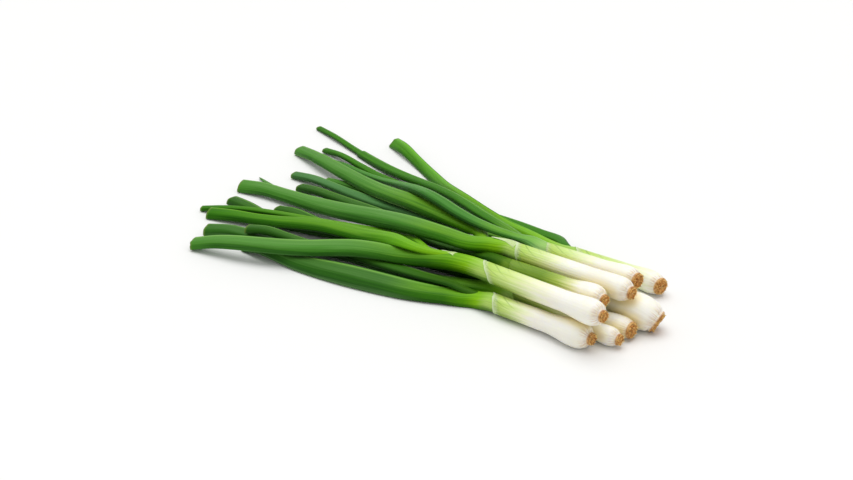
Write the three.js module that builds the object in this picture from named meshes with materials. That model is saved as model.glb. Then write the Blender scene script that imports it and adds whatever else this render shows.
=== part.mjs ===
// A loose bunch of nine trimmed spring onions, lying on a flat surface.
// Millimetres, +Z up, +X along the bunch towards the roots, +Y across it.
// The origin is at the bottom centre of the whole bunch.
import * as THREE from "three";

// ---------------------------------------------------------------- driving dimensions

const GAP = 0.3; // between a shaft and its root plate or its leaves
const CLEARANCE = 0.6; // between a leaf and what it lies on

const SHAFT_SIDES = 14;
const BULB_STATIONS = [0, 0.06, 0.2, 0.45, 0.8, 1.15, 1.7, 2.4, 3.3, 4.4]; // in bulb radii from the root
const STEM_STATIONS = 3; // from there to the neck
const BULB_FALL = 2.5; // from the widest place to the plain shaft, in bulb radii
const PLATE_THICKNESS = 2.2;
const PLATE_PROFILE = [[0, 0.98], [0.55, 1], [1, 0.84]]; // parts of its thickness and radius

const LEAF_SIDES = 10;
const LEAF_RINGS = 16;
const RING_BIAS = 1.25; // rings lie closer together near the neck
const LEAF_WALL = 0.9;
const LEAF_THICKNESS = 0.56; // against its width, where it lies free
const MOUTH_DEPTH = 5; // of the hollow in a cut leaf end
const STRAIGHT_START = 12; // a leaf first runs on along its shaft
const PARTING = 26; // along a leaf, from its slot in the neck to its own full section
const SWELLING = 95; // along a leaf, from its slot to its full width and thickness
const TAPER_START = 0.45; // where a leaf starts to narrow, as a part of its length
const ROLL_RANGE = [0.05, 0.45]; // where a leaf takes on its roll, as parts of its length

const DROOP_RADIUS = 1200; // how tightly the weight of a free leaf bends it down
const FULLNESS = 2.6; // how square a piece's section is taken to be where a leaf lies on it
const SETTLING_STATIONS = 60; // along a leaf, where it may touch what it lies on
const SETTLING_SPANS = 7; // of the curve of a settled leaf
const SPAN_BIAS = 0.7; // the curve turns more sharply near the neck
const SETTLING_ROUNDS = 500;
const SINK = 0.15; // in the first round

// An onion: the middle of its root plate, the middle of its neck, and its radii at the
// bulb, the shaft, the neck and the root plate. dip and turn bend its root end down and
// sideways, in degrees.
const ONIONS = {
  a: { root: [138, -23.6, 8], neck: [69, -22, 6.2], bulb: 8.3, shaft: 6.1, throat: 5.9, plate: 3.7 },
  b: { root: [145, -23, 25], neck: [56, -12, 18.8], bulb: 7.9, shaft: 6.5, throat: 6.0, plate: 3.6 },
  c: { root: [134, -5.5, 24.2], neck: [62, 3, 17.5], bulb: 7.6, shaft: 5.8, throat: 5.4, plate: 3.4 },
  d: { root: [148.5, -10.4, 5.5], neck: [72, -8.5, 4.8], bulb: 5.8, shaft: 4.8, throat: 4.7, plate: 3.4 },
  e: { root: [148.5, 2.3, 6.2], neck: [70, 3, 5.2], bulb: 6.5, shaft: 5.3, throat: 5.1, plate: 5.0 },
  f: {
    root: [155, 19.5, 7.1], neck: [62, 20, 6.6], bulb: 10.3, shaft: 6.8, throat: 6.2, plate: 7.0,
    dip: 30, turn: 14,
  },
  g: {
    root: [142.5, 9.8, 25.6], neck: [58, 15, 22],
    bulb: 7.2, shaft: 6.5, throat: 5.9, plate: 3.8, dip: 3,
  },
  h: {
    root: [136, 26, 24.8], neck: [71, 28, 22],
    bulb: 6.8, shaft: 5.6, throat: 5.3, plate: 4.7, turn: -7,
  },
  i: {
    root: [133, 58.5, 6.7], neck: [72, 60, 6],
    bulb: 7.0, shaft: 6.0, throat: 5.6, plate: 5.2, turn: -12,
  },
};

// The pieces from the bottom of the pile to the top. A leaf has its slot in the neck, from
// one part of the neck's height to another, the points that it passes over, to its cut end,
// its full width near the neck, along its middle and at its end, its roll about its own
// line, in degrees, and the radius of its droop where that differs.
const PILE = [
  { shaft: "d" },
  { shaft: "e" },
  { shaft: "f" },
  { shaft: "a" },
  { shaft: "i" },
  {
    leaf: "d_1", slot: [0, 1], width: [9.5, 10.5, 9],
    route: [[18, -20], [-50, -26], [-103, -44], [-142, -57]],
  },
  {
    leaf: "e_1", slot: [0, 1], width: [9.5, 10, 7],
    route: [[18, 2], [-32, -2], [-128, -5]],
  },
  {
    leaf: "f_1", slot: [0, 0.5], width: [9, 10, 3],
    route: [[12, 26], [-55, 28], [-150, 17], [-177, 27]],
  },
  {
    leaf: "a_1", slot: [0, 0.7], width: [12.5, 14.5, 9], roll: 30,
    route: [[42, -28], [11, -41], [-53, -54], [-106, -57]],
  },
  {
    leaf: "a_2", slot: [0.7, 1], width: [6.5, 9.5, 7.5],
    route: [[42, -24], [0, -28], [-46, -33], [-112, -49]],
  },
  {
    leaf: "i_1", slot: [0, 0.5], width: [9, 10, 5],
    route: [[52, 73], [26, 77], [-30, 75], [-91, 77], [-173, 91]],
  },
  {
    leaf: "i_2", slot: [0.5, 1], width: [8.5, 8, 7.5], roll: 45,
    route: [[34, 62], [0, 68], [-30, 74], [-90, 107], [-142, 131]],
  },
  { shaft: "b" },
  { shaft: "c" },
  { shaft: "g" },
  { shaft: "h" },
  {
    leaf: "c_1", slot: [0, 0.5], width: [8, 9, 7.5], droop: 350,
    route: [[30, -2], [-30, -7], [-125, -18], [-162, -14]],
  },
  {
    leaf: "c_2", slot: [0.5, 1], width: [7, 10, 7], droop: 350,
    route: [[30, 6], [-30, 20], [-85, 25], [-141, 31]],
  },
  {
    leaf: "f_2", slot: [0.5, 1], width: [9, 12.5, 7],
    route: [[10, 26], [-58, 42], [-159, 44]],
  },
  {
    leaf: "h_2", slot: [0, 0.36], width: [7.5, 8.5, 5], droop: 350,
    route: [[30, 37], [-60, 54], [-136, 53]],
  },
  {
    leaf: "g_2", slot: [0, 0.34], width: [8, 13, 8.5], roll: 15,
    route: [[30, 28], [-30, 37], [-90, 51], [-150, 66], [-185, 77]],
  },
  {
    leaf: "h_3", slot: [0.36, 0.66], width: [7, 8.5, 4.5],
    route: [[40, 37], [0, 53], [-30, 66], [-120, 94], [-205, 119]],
  },
  {
    leaf: "h_1", slot: [0.66, 1], width: [7.5, 9.5, 4],
    route: [[32, 28], [-30, 41], [-90, 67], [-158, 82]],
  },
  {
    leaf: "b_1", slot: [0, 0.6], width: [12.5, 12.5, 10.5], roll: 20,
    route: [[30, -11], [-30, -33], [-90, -65], [-133, -78]],
  },
  {
    leaf: "b_3", slot: [0.6, 0.78], width: [5, 6, 5],
    route: [[30, -9], [-30, 2], [-110, -15], [-170, -35]],
  },
  {
    leaf: "b_2", slot: [0.78, 1], width: [7, 11, 8.5], roll: 20,
    route: [[30, -18], [-30, -15], [-90, -20.5], [-159, -39]],
  },
  {
    leaf: "g_1", slot: [0.34, 1], width: [12.5, 14, 9.5], roll: 25,
    route: [[28, 3], [-30, 6], [-90, 11], [-150, 9], [-173, 5]],
  },
];

// ---------------------------------------------------------------- materials

const SHAFT_FINISH = { color: 0xe9eed2, roughness: 0.4, metalness: 0 };
const PLATE_FINISH = { color: 0xb08149, roughness: 0.85, metalness: 0 };
const LEAF_FINISH = { color: 0x3f7f2a, roughness: 0.45, metalness: 0 };

// ---------------------------------------------------------------- closed swept solids

const UP = new THREE.Vector3(0, 0, 1);

/** The middle, the sideways and the upward direction of each station along a curve. */
function framesAlong(curve, fractions) {
  return fractions.map((fraction) => {
    const ahead = curve.getTangentAt(fraction);
    const side = new THREE.Vector3().crossVectors(ahead, UP).normalize();
    return {
      middle: curve.getPointAt(fraction),
      ahead,
      side,
      up: new THREE.Vector3().crossVectors(side, ahead),
    };
  });
}

/** A ring of points from a section, which gives [sideways, up] at each angle. */
function ringOf(frame, sides, section) {
  const ring = [];
  for (let k = 0; k < sides; k += 1) {
    const angle = (k / sides) * 2 * Math.PI;
    const [across, above] = section(angle);
    const point = frame.middle
      .clone()
      .addScaledVector(frame.side, across)
      .addScaledVector(frame.up, above);
    point.z = Math.max(point.z, 0);
    ring.push(point);
  }
  return ring;
}

/** A closed solid through rings of points, with a middle point at each end. */
function solidThrough(rings, firstPole, lastPole) {
  const sides = rings[0].length;
  const points = [firstPole, ...rings.flat(), lastPole];
  const faces = [];
  for (let k = 0; k < sides; k += 1) {
    const next = (k + 1) % sides;
    faces.push(0, 1 + k, 1 + next);
    for (let ring = 0; ring + 1 < rings.length; ring += 1) {
      const near = 1 + ring * sides;
      const far = near + sides;
      faces.push(near + k, far + k, far + next);
      faces.push(near + k, far + next, near + next);
    }
    const last = 1 + (rings.length - 1) * sides;
    faces.push(points.length - 1, last + next, last + k);
  }
  const geometry = new THREE.BufferGeometry().setFromPoints(points);
  geometry.setIndex(faces);
  geometry.computeVertexNormals();
  return geometry;
}

function named(name, geometry, finish) {
  const mesh = new THREE.Mesh(geometry, new THREE.MeshStandardMaterial(finish));
  mesh.name = name;
  return mesh;
}

// ---------------------------------------------------------------- shafts and root plates

/** The line of a shaft from its neck to its root plate, bent at the root end. */
function shaftLine(onion) {
  const neck = new THREE.Vector3(...onion.neck);
  const root = new THREE.Vector3(...onion.root);
  const chord = root.clone().sub(neck);
  const dip = THREE.MathUtils.degToRad(onion.dip ?? 0);
  const turn = THREE.MathUtils.degToRad(onion.turn ?? 0);
  const rootward = chord.clone().normalize();
  rootward.applyAxisAngle(new THREE.Vector3(0, 1, 0), dip).applyAxisAngle(UP, turn);
  const reach = onion.bulb * 2;
  return new THREE.CubicBezierCurve3(
    neck,
    neck.clone().addScaledVector(chord, 1 / 3),
    root.clone().addScaledVector(rootward, -reach),
    root,
  );
}

/** The radius of a shaft at a distance from its root plate. */
function shaftRadius(onion, fromRoot, length) {
  const shoulder = onion.bulb;
  const waist = shoulder + BULB_FALL * onion.bulb;
  if (fromRoot < shoulder) {
    const rise = 1 - fromRoot / shoulder;
    return onion.plate + (onion.bulb - onion.plate) * Math.sqrt(1 - rise * rise);
  }
  if (fromRoot < waist) {
    const fall = 0.5 + 0.5 * Math.cos((Math.PI * (fromRoot - shoulder)) / (waist - shoulder));
    return onion.shaft + (onion.bulb - onion.shaft) * fall;
  }
  const along = (fromRoot - waist) / (length - waist);
  return onion.shaft + (onion.throat - onion.shaft) * along;
}

/** Where the rings of a shaft stand: close together round the shoulder of the bulb. */
function shaftDistances(onion, length) {
  const distances = BULB_STATIONS.map((step) => step * onion.bulb);
  const last = distances[distances.length - 1];
  for (let k = 1; k <= STEM_STATIONS; k += 1) {
    distances.push(last + ((length - last) * k) / STEM_STATIONS);
  }
  return distances;
}

function circle(radius) {
  return (angle) => [radius * Math.cos(angle), radius * Math.sin(angle)];
}

function makeShaft(name, onion) {
  const line = shaftLine(onion);
  const length = line.getLength();
  const distances = shaftDistances(onion, length).reverse();
  const frames = framesAlong(line, distances.map((distance) => 1 - distance / length));
  const rings = frames.map((frame, k) =>
    ringOf(frame, SHAFT_SIDES, circle(shaftRadius(onion, distances[k], length))));
  const geometry = solidThrough(rings, frames[0].middle, frames[frames.length - 1].middle);
  return named(`onion_${name}_shaft`, geometry, SHAFT_FINISH);
}

function makePlate(name, onion) {
  const line = shaftLine(onion);
  const ahead = line.getTangentAt(1);
  const side = new THREE.Vector3().crossVectors(ahead, UP).normalize();
  const up = new THREE.Vector3().crossVectors(side, ahead);
  const frames = PLATE_PROFILE.map(([depth]) => ({
    middle: line.getPointAt(1).addScaledVector(ahead, GAP + depth * PLATE_THICKNESS),
    side,
    up,
  }));
  const rings = frames.map((frame, k) =>
    ringOf(frame, SHAFT_SIDES, circle(PLATE_PROFILE[k][1] * onion.plate)));
  const geometry = solidThrough(rings, frames[0].middle, frames[2].middle);
  return named(`onion_${name}_root_plate`, geometry, PLATE_FINISH);
}

// ---------------------------------------------------------------- the pile

// What already lies in the pile: runs of { x, y, z, wide, high } from end to end.
const laid = [];

function remember(frames, halfWidths, halfHeights, owner) {
  const run = frames.map((frame, k) => ({
    x: frame.middle.x,
    y: frame.middle.y,
    z: frame.middle.z,
    wide: halfWidths[k] + CLEARANCE,
    high: halfHeights[k],
  }));
  laid.push({ run, owner });
}

/** The height of one laid run above a point of the surface, or 0 beside it. */
function heightOfRun(run, x, y) {
  let height = 0;
  for (let k = 0; k + 1 < run.length; k += 1) {
    const from = run[k];
    const to = run[k + 1];
    const runX = to.x - from.x;
    const runY = to.y - from.y;
    const along = ((x - from.x) * runX + (y - from.y) * runY) / (runX * runX + runY * runY);
    const part = THREE.MathUtils.clamp(along, 0, 1);
    const away = Math.hypot(x - from.x - part * runX, y - from.y - part * runY);
    const wide = THREE.MathUtils.lerp(from.wide, to.wide, part);
    if (away < wide) {
      const rise = (1 - (away / wide) ** FULLNESS) ** (1 / FULLNESS);
      const high = THREE.MathUtils.lerp(from.high, to.high, part);
      height = Math.max(height, THREE.MathUtils.lerp(from.z, to.z, part) + high * rise);
    }
  }
  return height;
}

/** The least height for the middle of a section, so that it clears all that is laid. */
function leastHeight(station, owner) {
  let least = station.high * Math.cos(Math.PI / LEAF_SIDES);
  for (const offset of [-0.98, -0.8, -0.55, -0.28, 0, 0.28, 0.55, 0.8, 0.98]) {
    const x = station.x + offset * station.wide * station.acrossX;
    const y = station.y + offset * station.wide * station.acrossY;
    const below = station.high * (1 - Math.abs(offset) ** FULLNESS) ** (1 / FULLNESS);
    for (const piece of laid) {
      if (piece.owner !== owner) {
        const height = heightOfRun(piece.run, x, y);
        if (height > 0) {
          least = Math.max(least, height + CLEARANCE + below);
        }
      }
    }
  }
  return least;
}

/** The four weights of a uniform cubic B-spline at a part of one of its spans. */
function splineWeights(part) {
  const rest = 1 - part;
  return [
    rest ** 3 / 6,
    (3 * part ** 3 - 6 * part ** 2 + 4) / 6,
    (3 * rest ** 3 - 6 * rest ** 2 + 4) / 6,
    part ** 3 / 6,
  ];
}

/**
 * Lets a leaf settle: a smooth curve of heights that leaves the neck along the shaft,
 * sinks as low as it can and stays above the least height at every station.
 */
function settle(leastHeights, startHeight, startSlope, spacing) {
  const stations = leastHeights.length;
  const length = (stations - 1) * spacing;
  const held = 3;
  const controls = [];
  for (let k = 0; k < SETTLING_SPANS + 3; k += 1) {
    const distance = length * (Math.max(Math.min(k, held) - 1, 0) / SETTLING_SPANS) ** (1 / SPAN_BIAS);
    controls.push(startHeight + startSlope * distance);
  }
  const places = leastHeights.map((_, k) => {
    const along = Math.min((k / (stations - 1)) ** SPAN_BIAS, 1 - 1e-7) * SETTLING_SPANS;
    const span = Math.floor(along);
    return { span, weights: splineWeights(along - span) };
  });
  const heightAt = ({ span, weights }) =>
    weights.reduce((sum, weight, k) => sum + weight * controls[span + k], 0);
  for (let round = 0; round < SETTLING_ROUNDS; round += 1) {
    const sink = SINK * (1 - round / SETTLING_ROUNDS);
    for (let k = held; k < controls.length; k += 1) {
      controls[k] -= sink;
    }
    for (let pass = 0; pass < 4; pass += 1) {
      places.forEach((place, station) => {
        const lack = leastHeights[station] - heightAt(place);
        const free = place.weights.filter((_, k) => place.span + k >= held);
        const share = free.reduce((sum, weight) => sum + weight * weight, 0);
        if (lack > 0 && share > 0.05) {
          place.weights.forEach((weight, k) => {
            if (place.span + k >= held) {
              controls[place.span + k] += (lack * weight) / share;
            }
          });
        }
      });
    }
  }
  return places.map(heightAt);
}

// ---------------------------------------------------------------- leaves

/** The slot of a leaf in its neck: one level slab of the round section. */
function slotOf(onion, [from, to]) {
  const low = onion.throat * (2 * from - 1);
  const high = onion.throat * (2 * to - 1);
  return { middle: (low + high) / 2, half: (high - low - GAP) / 2, radius: onion.throat };
}

/** A leaf's half width and half thickness at a distance from the neck. */
function leafSize(leaf, slot, distance, length) {
  const [base, middle, end] = leaf.width;
  const parting = THREE.MathUtils.smoothstep(distance, 0, PARTING);
  const swelling = THREE.MathUtils.smoothstep(distance, 0, SWELLING);
  const taper = THREE.MathUtils.smoothstep(distance / length, TAPER_START, 1);
  const full = THREE.MathUtils.lerp(THREE.MathUtils.lerp(base, middle, swelling), end, taper) / 2;
  const slotWide = Math.sqrt(slot.radius ** 2 - slot.middle ** 2);
  return {
    wide: THREE.MathUtils.lerp(slotWide, full, parting),
    high: THREE.MathUtils.lerp(slot.half, full * LEAF_THICKNESS, swelling),
    parting,
  };
}

/** The section of a leaf: its slot in the neck, turning into its own flat oval. */
function leafSection(size, slot, roll) {
  return (angle) => {
    const cos = Math.cos(angle);
    const sin = Math.sin(angle);
    const toSlab = slot.half / Math.max(Math.abs(sin), 1e-6);
    const lift = slot.middle * sin;
    const toNeck = -lift + Math.sqrt(lift * lift + slot.radius ** 2 - slot.middle ** 2);
    const inSlot = Math.min(toSlab, toNeck);
    const slab = [inSlot * cos, inSlot * sin];
    const turned = [
      size.wide * cos * Math.cos(roll) - size.high * sin * Math.sin(roll),
      size.wide * cos * Math.sin(roll) + size.high * sin * Math.cos(roll),
    ];
    return [0, 1].map((axis) => THREE.MathUtils.lerp(slab[axis], turned[axis], size.parting));
  };
}

/** The frame of a section that faces the neck of an onion. */
function neckFrame(onion, middle) {
  const ahead = shaftLine(onion).getTangentAt(0).negate();
  const side = new THREE.Vector3().crossVectors(ahead, UP).normalize();
  return { middle, ahead, side, up: new THREE.Vector3().crossVectors(side, ahead) };
}

/** The route of a leaf over the surface, from its slot in the neck to its cut end. */
function routeOf(onion, leaf, slot) {
  const neck = neckFrame(onion, new THREE.Vector3(...onion.neck));
  const leaving = neck.ahead;
  const start = neck.middle.clone().addScaledVector(leaving, GAP).addScaledVector(neck.up, slot.middle);
  const onward = start.clone().addScaledVector(leaving, STRAIGHT_START);
  const flat = (point) => new THREE.Vector3(point.x, point.y, 0);
  const passed = leaf.route.map(([x, y]) => new THREE.Vector3(x, y, 0));
  return {
    start,
    slope: leaving.z / Math.hypot(leaving.x, leaving.y),
    plan: new THREE.CatmullRomCurve3([flat(start), flat(onward), ...passed], false, "centripetal"),
  };
}

/** The line of a leaf in space: its route, at the heights where it settles. */
function settledLine(leaf, slot, route, owner) {
  const count = SETTLING_STATIONS;
  const startHeight = route.start.z;
  const length = route.plan.getLength();
  const stations = route.plan.getSpacedPoints(count).map((point, k) => {
    const ahead = route.plan.getTangentAt(k / count);
    const size = leafSize(leaf, slot, (k / count) * length, length);
    const roll = rollOf(leaf, k / count);
    return {
      x: point.x,
      y: point.y,
      acrossX: ahead.y,
      acrossY: -ahead.x,
      wide: Math.hypot(size.wide * Math.cos(roll), size.high * Math.sin(roll)),
      high: Math.hypot(size.wide * Math.sin(roll), size.high * Math.cos(roll)),
    };
  });
  const least = stations.map((station, k) => {
    const distance = (k / count) * length;
    const droop = distance ** 2 / (2 * (leaf.droop ?? DROOP_RADIUS));
    return Math.max(startHeight + route.slope * distance - droop, leastHeight(station, owner));
  });
  const heights = settle(least, startHeight, route.slope, length / count);
  const points = stations.map((station, k) => new THREE.Vector3(station.x, station.y, heights[k]));
  return new THREE.CatmullRomCurve3(points, false, "centripetal");
}

function rollOf(leaf, fraction) {
  return THREE.MathUtils.degToRad(leaf.roll ?? 0) * THREE.MathUtils.smoothstep(fraction, ...ROLL_RANGE);
}

function makeLeaf(leaf) {
  const owner = leaf.leaf[0];
  const onion = ONIONS[owner];
  const slot = slotOf(onion, leaf.slot);
  const route = routeOf(onion, leaf, slot);
  const line = settledLine(leaf, slot, route, owner);
  const length = line.getLength();
  const fractions = Array.from({ length: LEAF_RINGS }, (_, k) => (k / (LEAF_RINGS - 1)) ** RING_BIAS);
  const frames = framesAlong(line, fractions);
  frames[0] = neckFrame(onion, frames[0].middle);
  const sizes = fractions.map((fraction) => leafSize(leaf, slot, fraction * length, length));
  const rings = frames.map((frame, k) =>
    ringOf(frame, LEAF_SIDES, leafSection(sizes[k], slot, rollOf(leaf, fractions[k]))));
  const end = frames[frames.length - 1];
  const endSize = sizes[sizes.length - 1];
  const mouth = { wide: endSize.wide - LEAF_WALL, high: endSize.high - LEAF_WALL, parting: 1 };
  rings.push(ringOf(end, LEAF_SIDES, leafSection(mouth, slot, rollOf(leaf, 1))));
  const depth = end.middle.clone().addScaledVector(end.ahead, -MOUTH_DEPTH);
  remember(frames, sizes.map((size) => size.wide), sizes.map((size) => size.high), leaf.leaf);
  const name = `onion_${leaf.leaf.replace("_", "_leaf_")}`;
  return named(name, solidThrough(rings, frames[0].middle, depth), LEAF_FINISH);
}

// ---------------------------------------------------------------- the bunch

function layShaft(name) {
  const onion = ONIONS[name];
  const line = shaftLine(onion);
  const length = line.getLength();
  const distances = shaftDistances(onion, length).reverse();
  const frames = framesAlong(line, distances.map((distance) => 1 - distance / length));
  const radii = distances.map((distance) => shaftRadius(onion, distance, length));
  remember(frames, radii, radii, name);
  return [makeShaft(name, onion), makePlate(name, onion)];
}

const bunch = new THREE.Group();
for (const piece of PILE) {
  bunch.add(...(piece.shaft ? layShaft(piece.shaft) : [makeLeaf(piece)]));
}

const box = new THREE.Box3().setFromObject(bunch);
const centre = box.getCenter(new THREE.Vector3());
bunch.position.set(-centre.x, -centre.y, -box.min.z);
bunch.updateMatrixWorld(true);

export default bunch;
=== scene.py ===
"""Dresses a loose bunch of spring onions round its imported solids.

Each onion is a shaft with its bulb, a cut root plate, a papery collar at the neck and one
to three hollow leaves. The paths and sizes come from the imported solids, and everything is
in metres in their frame: +X towards the roots, +Z up from the surface.
"""
import logging
import math
from collections.abc import Callable, Sequence
from dataclasses import dataclass, field
from enum import Enum

import bmesh
import bpy
import numpy as np
from mathutils import Matrix, Vector


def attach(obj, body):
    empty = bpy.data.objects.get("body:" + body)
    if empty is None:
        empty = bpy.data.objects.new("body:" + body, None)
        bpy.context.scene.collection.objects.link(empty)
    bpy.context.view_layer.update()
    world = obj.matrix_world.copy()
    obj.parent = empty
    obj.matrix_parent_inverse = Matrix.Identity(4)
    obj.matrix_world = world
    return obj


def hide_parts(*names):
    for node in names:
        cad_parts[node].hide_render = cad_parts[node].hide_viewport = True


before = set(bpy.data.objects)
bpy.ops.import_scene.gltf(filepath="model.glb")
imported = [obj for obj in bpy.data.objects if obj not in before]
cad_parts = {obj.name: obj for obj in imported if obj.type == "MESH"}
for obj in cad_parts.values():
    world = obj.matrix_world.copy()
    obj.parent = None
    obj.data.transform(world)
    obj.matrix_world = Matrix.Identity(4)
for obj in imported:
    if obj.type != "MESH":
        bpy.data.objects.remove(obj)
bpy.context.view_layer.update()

log = logging.getLogger("spring_onions")

MM = 0.001
UP = np.array([0.0, 0.0, 1.0])
SHAFT_CAD_SIDES = 14
LEAF_CAD_SIDES = 10
GAP = 0.3 * MM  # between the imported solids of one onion
FLOOR_CLEARANCE = 0.05 * MM  # the lowest that any skin comes

Socket = bpy.types.NodeSocket
Material = bpy.types.Material
Piece = bpy.types.Object
Frames = tuple[np.ndarray, np.ndarray, np.ndarray]
Value = Socket | float | tuple  # what a node's input takes


# ---------------------------------------------------------------- small mathematics

def smoothstep(value: np.ndarray, low: float, high: float) -> np.ndarray:
    """Rises smoothly from 0 at low to 1 at high."""
    part = np.clip((np.asarray(value, float) - low) / (high - low), 0.0, 1.0)
    return part * part * (3.0 - 2.0 * part)


def smooth_between(known_at: np.ndarray, known: np.ndarray, at: np.ndarray) -> np.ndarray:
    """Reads a smooth curve through known values, and straight on past its two ends.

    Args:
        known_at: The rising places of the known values.
        known: One row for each place.
        at: The places to read, of any number.

    Returns:
        One row for each place in at.
    """
    slopes = np.gradient(known, known_at, axis=0)
    inside = np.clip(at, known_at[0], known_at[-1])
    k = np.clip(np.searchsorted(known_at, inside, side="right") - 1, 0, len(known_at) - 2)
    shape = (-1,) + (1,) * (known.ndim - 1)
    step = (known_at[k + 1] - known_at[k]).reshape(shape)
    part = (inside - known_at[k]).reshape(shape) / step
    past = (at - inside).reshape(shape)
    before = slopes[k]
    after = slopes[k + 1]
    value = (2 * part ** 3 - 3 * part ** 2 + 1) * known[k] + (3 * part ** 2 - 2 * part ** 3) * known[k + 1]
    value = value + step * ((part ** 3 - 2 * part ** 2 + part) * before + (part ** 3 - part ** 2) * after)
    return value + past * np.where(past > 0, after, before)


def unit(rows: np.ndarray) -> np.ndarray:
    """Gives each row the length 1."""
    return rows / np.linalg.norm(rows, axis=-1, keepdims=True)


def turns_of(sides: int) -> np.ndarray:
    """The angles of a ring's points."""
    return np.arange(sides) / sides * 2 * math.pi


def wrapped(angle: np.ndarray) -> np.ndarray:
    """The same angles, between minus half a turn and half a turn."""
    return np.angle(np.exp(1j * angle))


def peak(away: np.ndarray, width: float) -> np.ndarray:
    """A smooth hump of height 1 round the places that aren't away at all."""
    return np.exp(-((away / width) ** 2))


def waves(angle: np.ndarray, along: np.ndarray, seed: int, scale: float, turns: int = 3) -> np.ndarray:
    """A smooth random value round and along a surface, from about -1 to 1.

    Args:
        angle: Angles round the surface.
        along: Distances along it, of the same shape.
        seed: Fixes the draw.
        scale: The length of the shortest wave along the surface.
        turns: The most waves round the surface.

    Returns:
        The value at each place.
    """
    draw = np.random.default_rng(seed)
    total = np.zeros(np.broadcast(angle, along).shape)
    count = 7
    for _ in range(count):
        around = draw.integers(0, turns + 1)
        length = scale * draw.uniform(1.0, 3.5)
        phase = draw.uniform(0, 2 * math.pi)
        total = total + np.sin(around * angle + along * 2 * math.pi / length + phase)
    return total / math.sqrt(count)


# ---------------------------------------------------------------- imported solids

def rings_of(node: str, sides: int, from_roots: bool) -> np.ndarray:
    """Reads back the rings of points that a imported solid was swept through.

    Args:
        node: The node's name.
        sides: The points in each ring.
        from_roots: Whether the first ring is the one at the +X end.

    Returns:
        An array of rings, sides and coordinates.
    """
    solid = bmesh.new()
    solid.from_mesh(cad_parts[node].data)
    bmesh.ops.remove_doubles(solid, verts=solid.verts, dist=1e-5)
    poles = sorted(solid.verts, key=lambda vert: -len(vert.link_edges))[:2]
    pole = sorted(poles, key=lambda vert: vert.co.x, reverse=from_roots)[0]
    seen = {pole}
    layer = neighbours([pole], seen)
    rings = []
    while len(layer) == sides:
        rings.append([list(vert.co) for vert in in_turn(layer)])
        seen.update(layer)
        layer = neighbours(layer, seen)
    solid.free()
    return np.array(rings)


def neighbours(verts: Sequence, seen: set) -> list:
    """The vertices next to some vertices, in a steady order, without those already seen."""
    found = {edge.other_vert(vert): None for vert in verts for edge in vert.link_edges}
    return [vert for vert in found if vert not in seen]


def in_turn(layer: Sequence) -> list:
    """Orders the vertices of one ring, each next to the one before."""
    left = set(layer)
    ring = [layer[0]]
    left.discard(layer[0])
    while left:
        onward = [edge.other_vert(ring[-1]) for edge in ring[-1].link_edges]
        step = next(vert for vert in onward if vert in left)
        ring.append(step)
        left.discard(step)
    return ring


def frames_along(middle: Callable[[np.ndarray], np.ndarray], at: np.ndarray) -> Frames:
    """The directions ahead, sideways and up at some distances along a line.

    Args:
        middle: Gives the points of the line at some distances.
        at: The distances.

    Returns:
        Three arrays of directions of length 1.
    """
    reach = 2 * MM
    ahead = unit(middle(at + reach) - middle(at - reach))
    side = unit(np.cross(ahead, UP))
    return ahead, side, np.cross(side, ahead)


def round_about(middle: np.ndarray, side: np.ndarray, up: np.ndarray, angle: np.ndarray,
                radius: np.ndarray) -> np.ndarray:
    """Points round a line.

    Args:
        middle: The points of the line.
        side: The directions sideways there.
        up: The directions up there.
        angle: The angle of each point round the line.
        radius: How far each point lies from the line.

    Returns:
        One point for each point of the line.
    """
    outward = np.cos(angle)[:, None] * side + np.sin(angle)[:, None] * up
    return middle + radius[:, None] * outward


class Path:
    """A smooth line through the middles of a solid's rings, read by distance along it."""

    def __init__(self, rings: np.ndarray) -> None:
        """Keeps the rings' middles and their distances along the line."""
        self.middles = rings.mean(axis=1)
        steps = np.linalg.norm(np.diff(self.middles, axis=0), axis=1)
        self.at = np.concatenate([[0.0], np.cumsum(steps)])
        self.length = float(self.at[-1])

    def middle(self, at: np.ndarray) -> np.ndarray:
        """The points of the line at some distances."""
        return smooth_between(self.at, self.middles, at)

    def frames(self, at: np.ndarray) -> Frames:
        """The directions ahead, sideways and up at some distances along the line."""
        return frames_along(self.middle, at)


# ---------------------------------------------------------------- meshes

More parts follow.
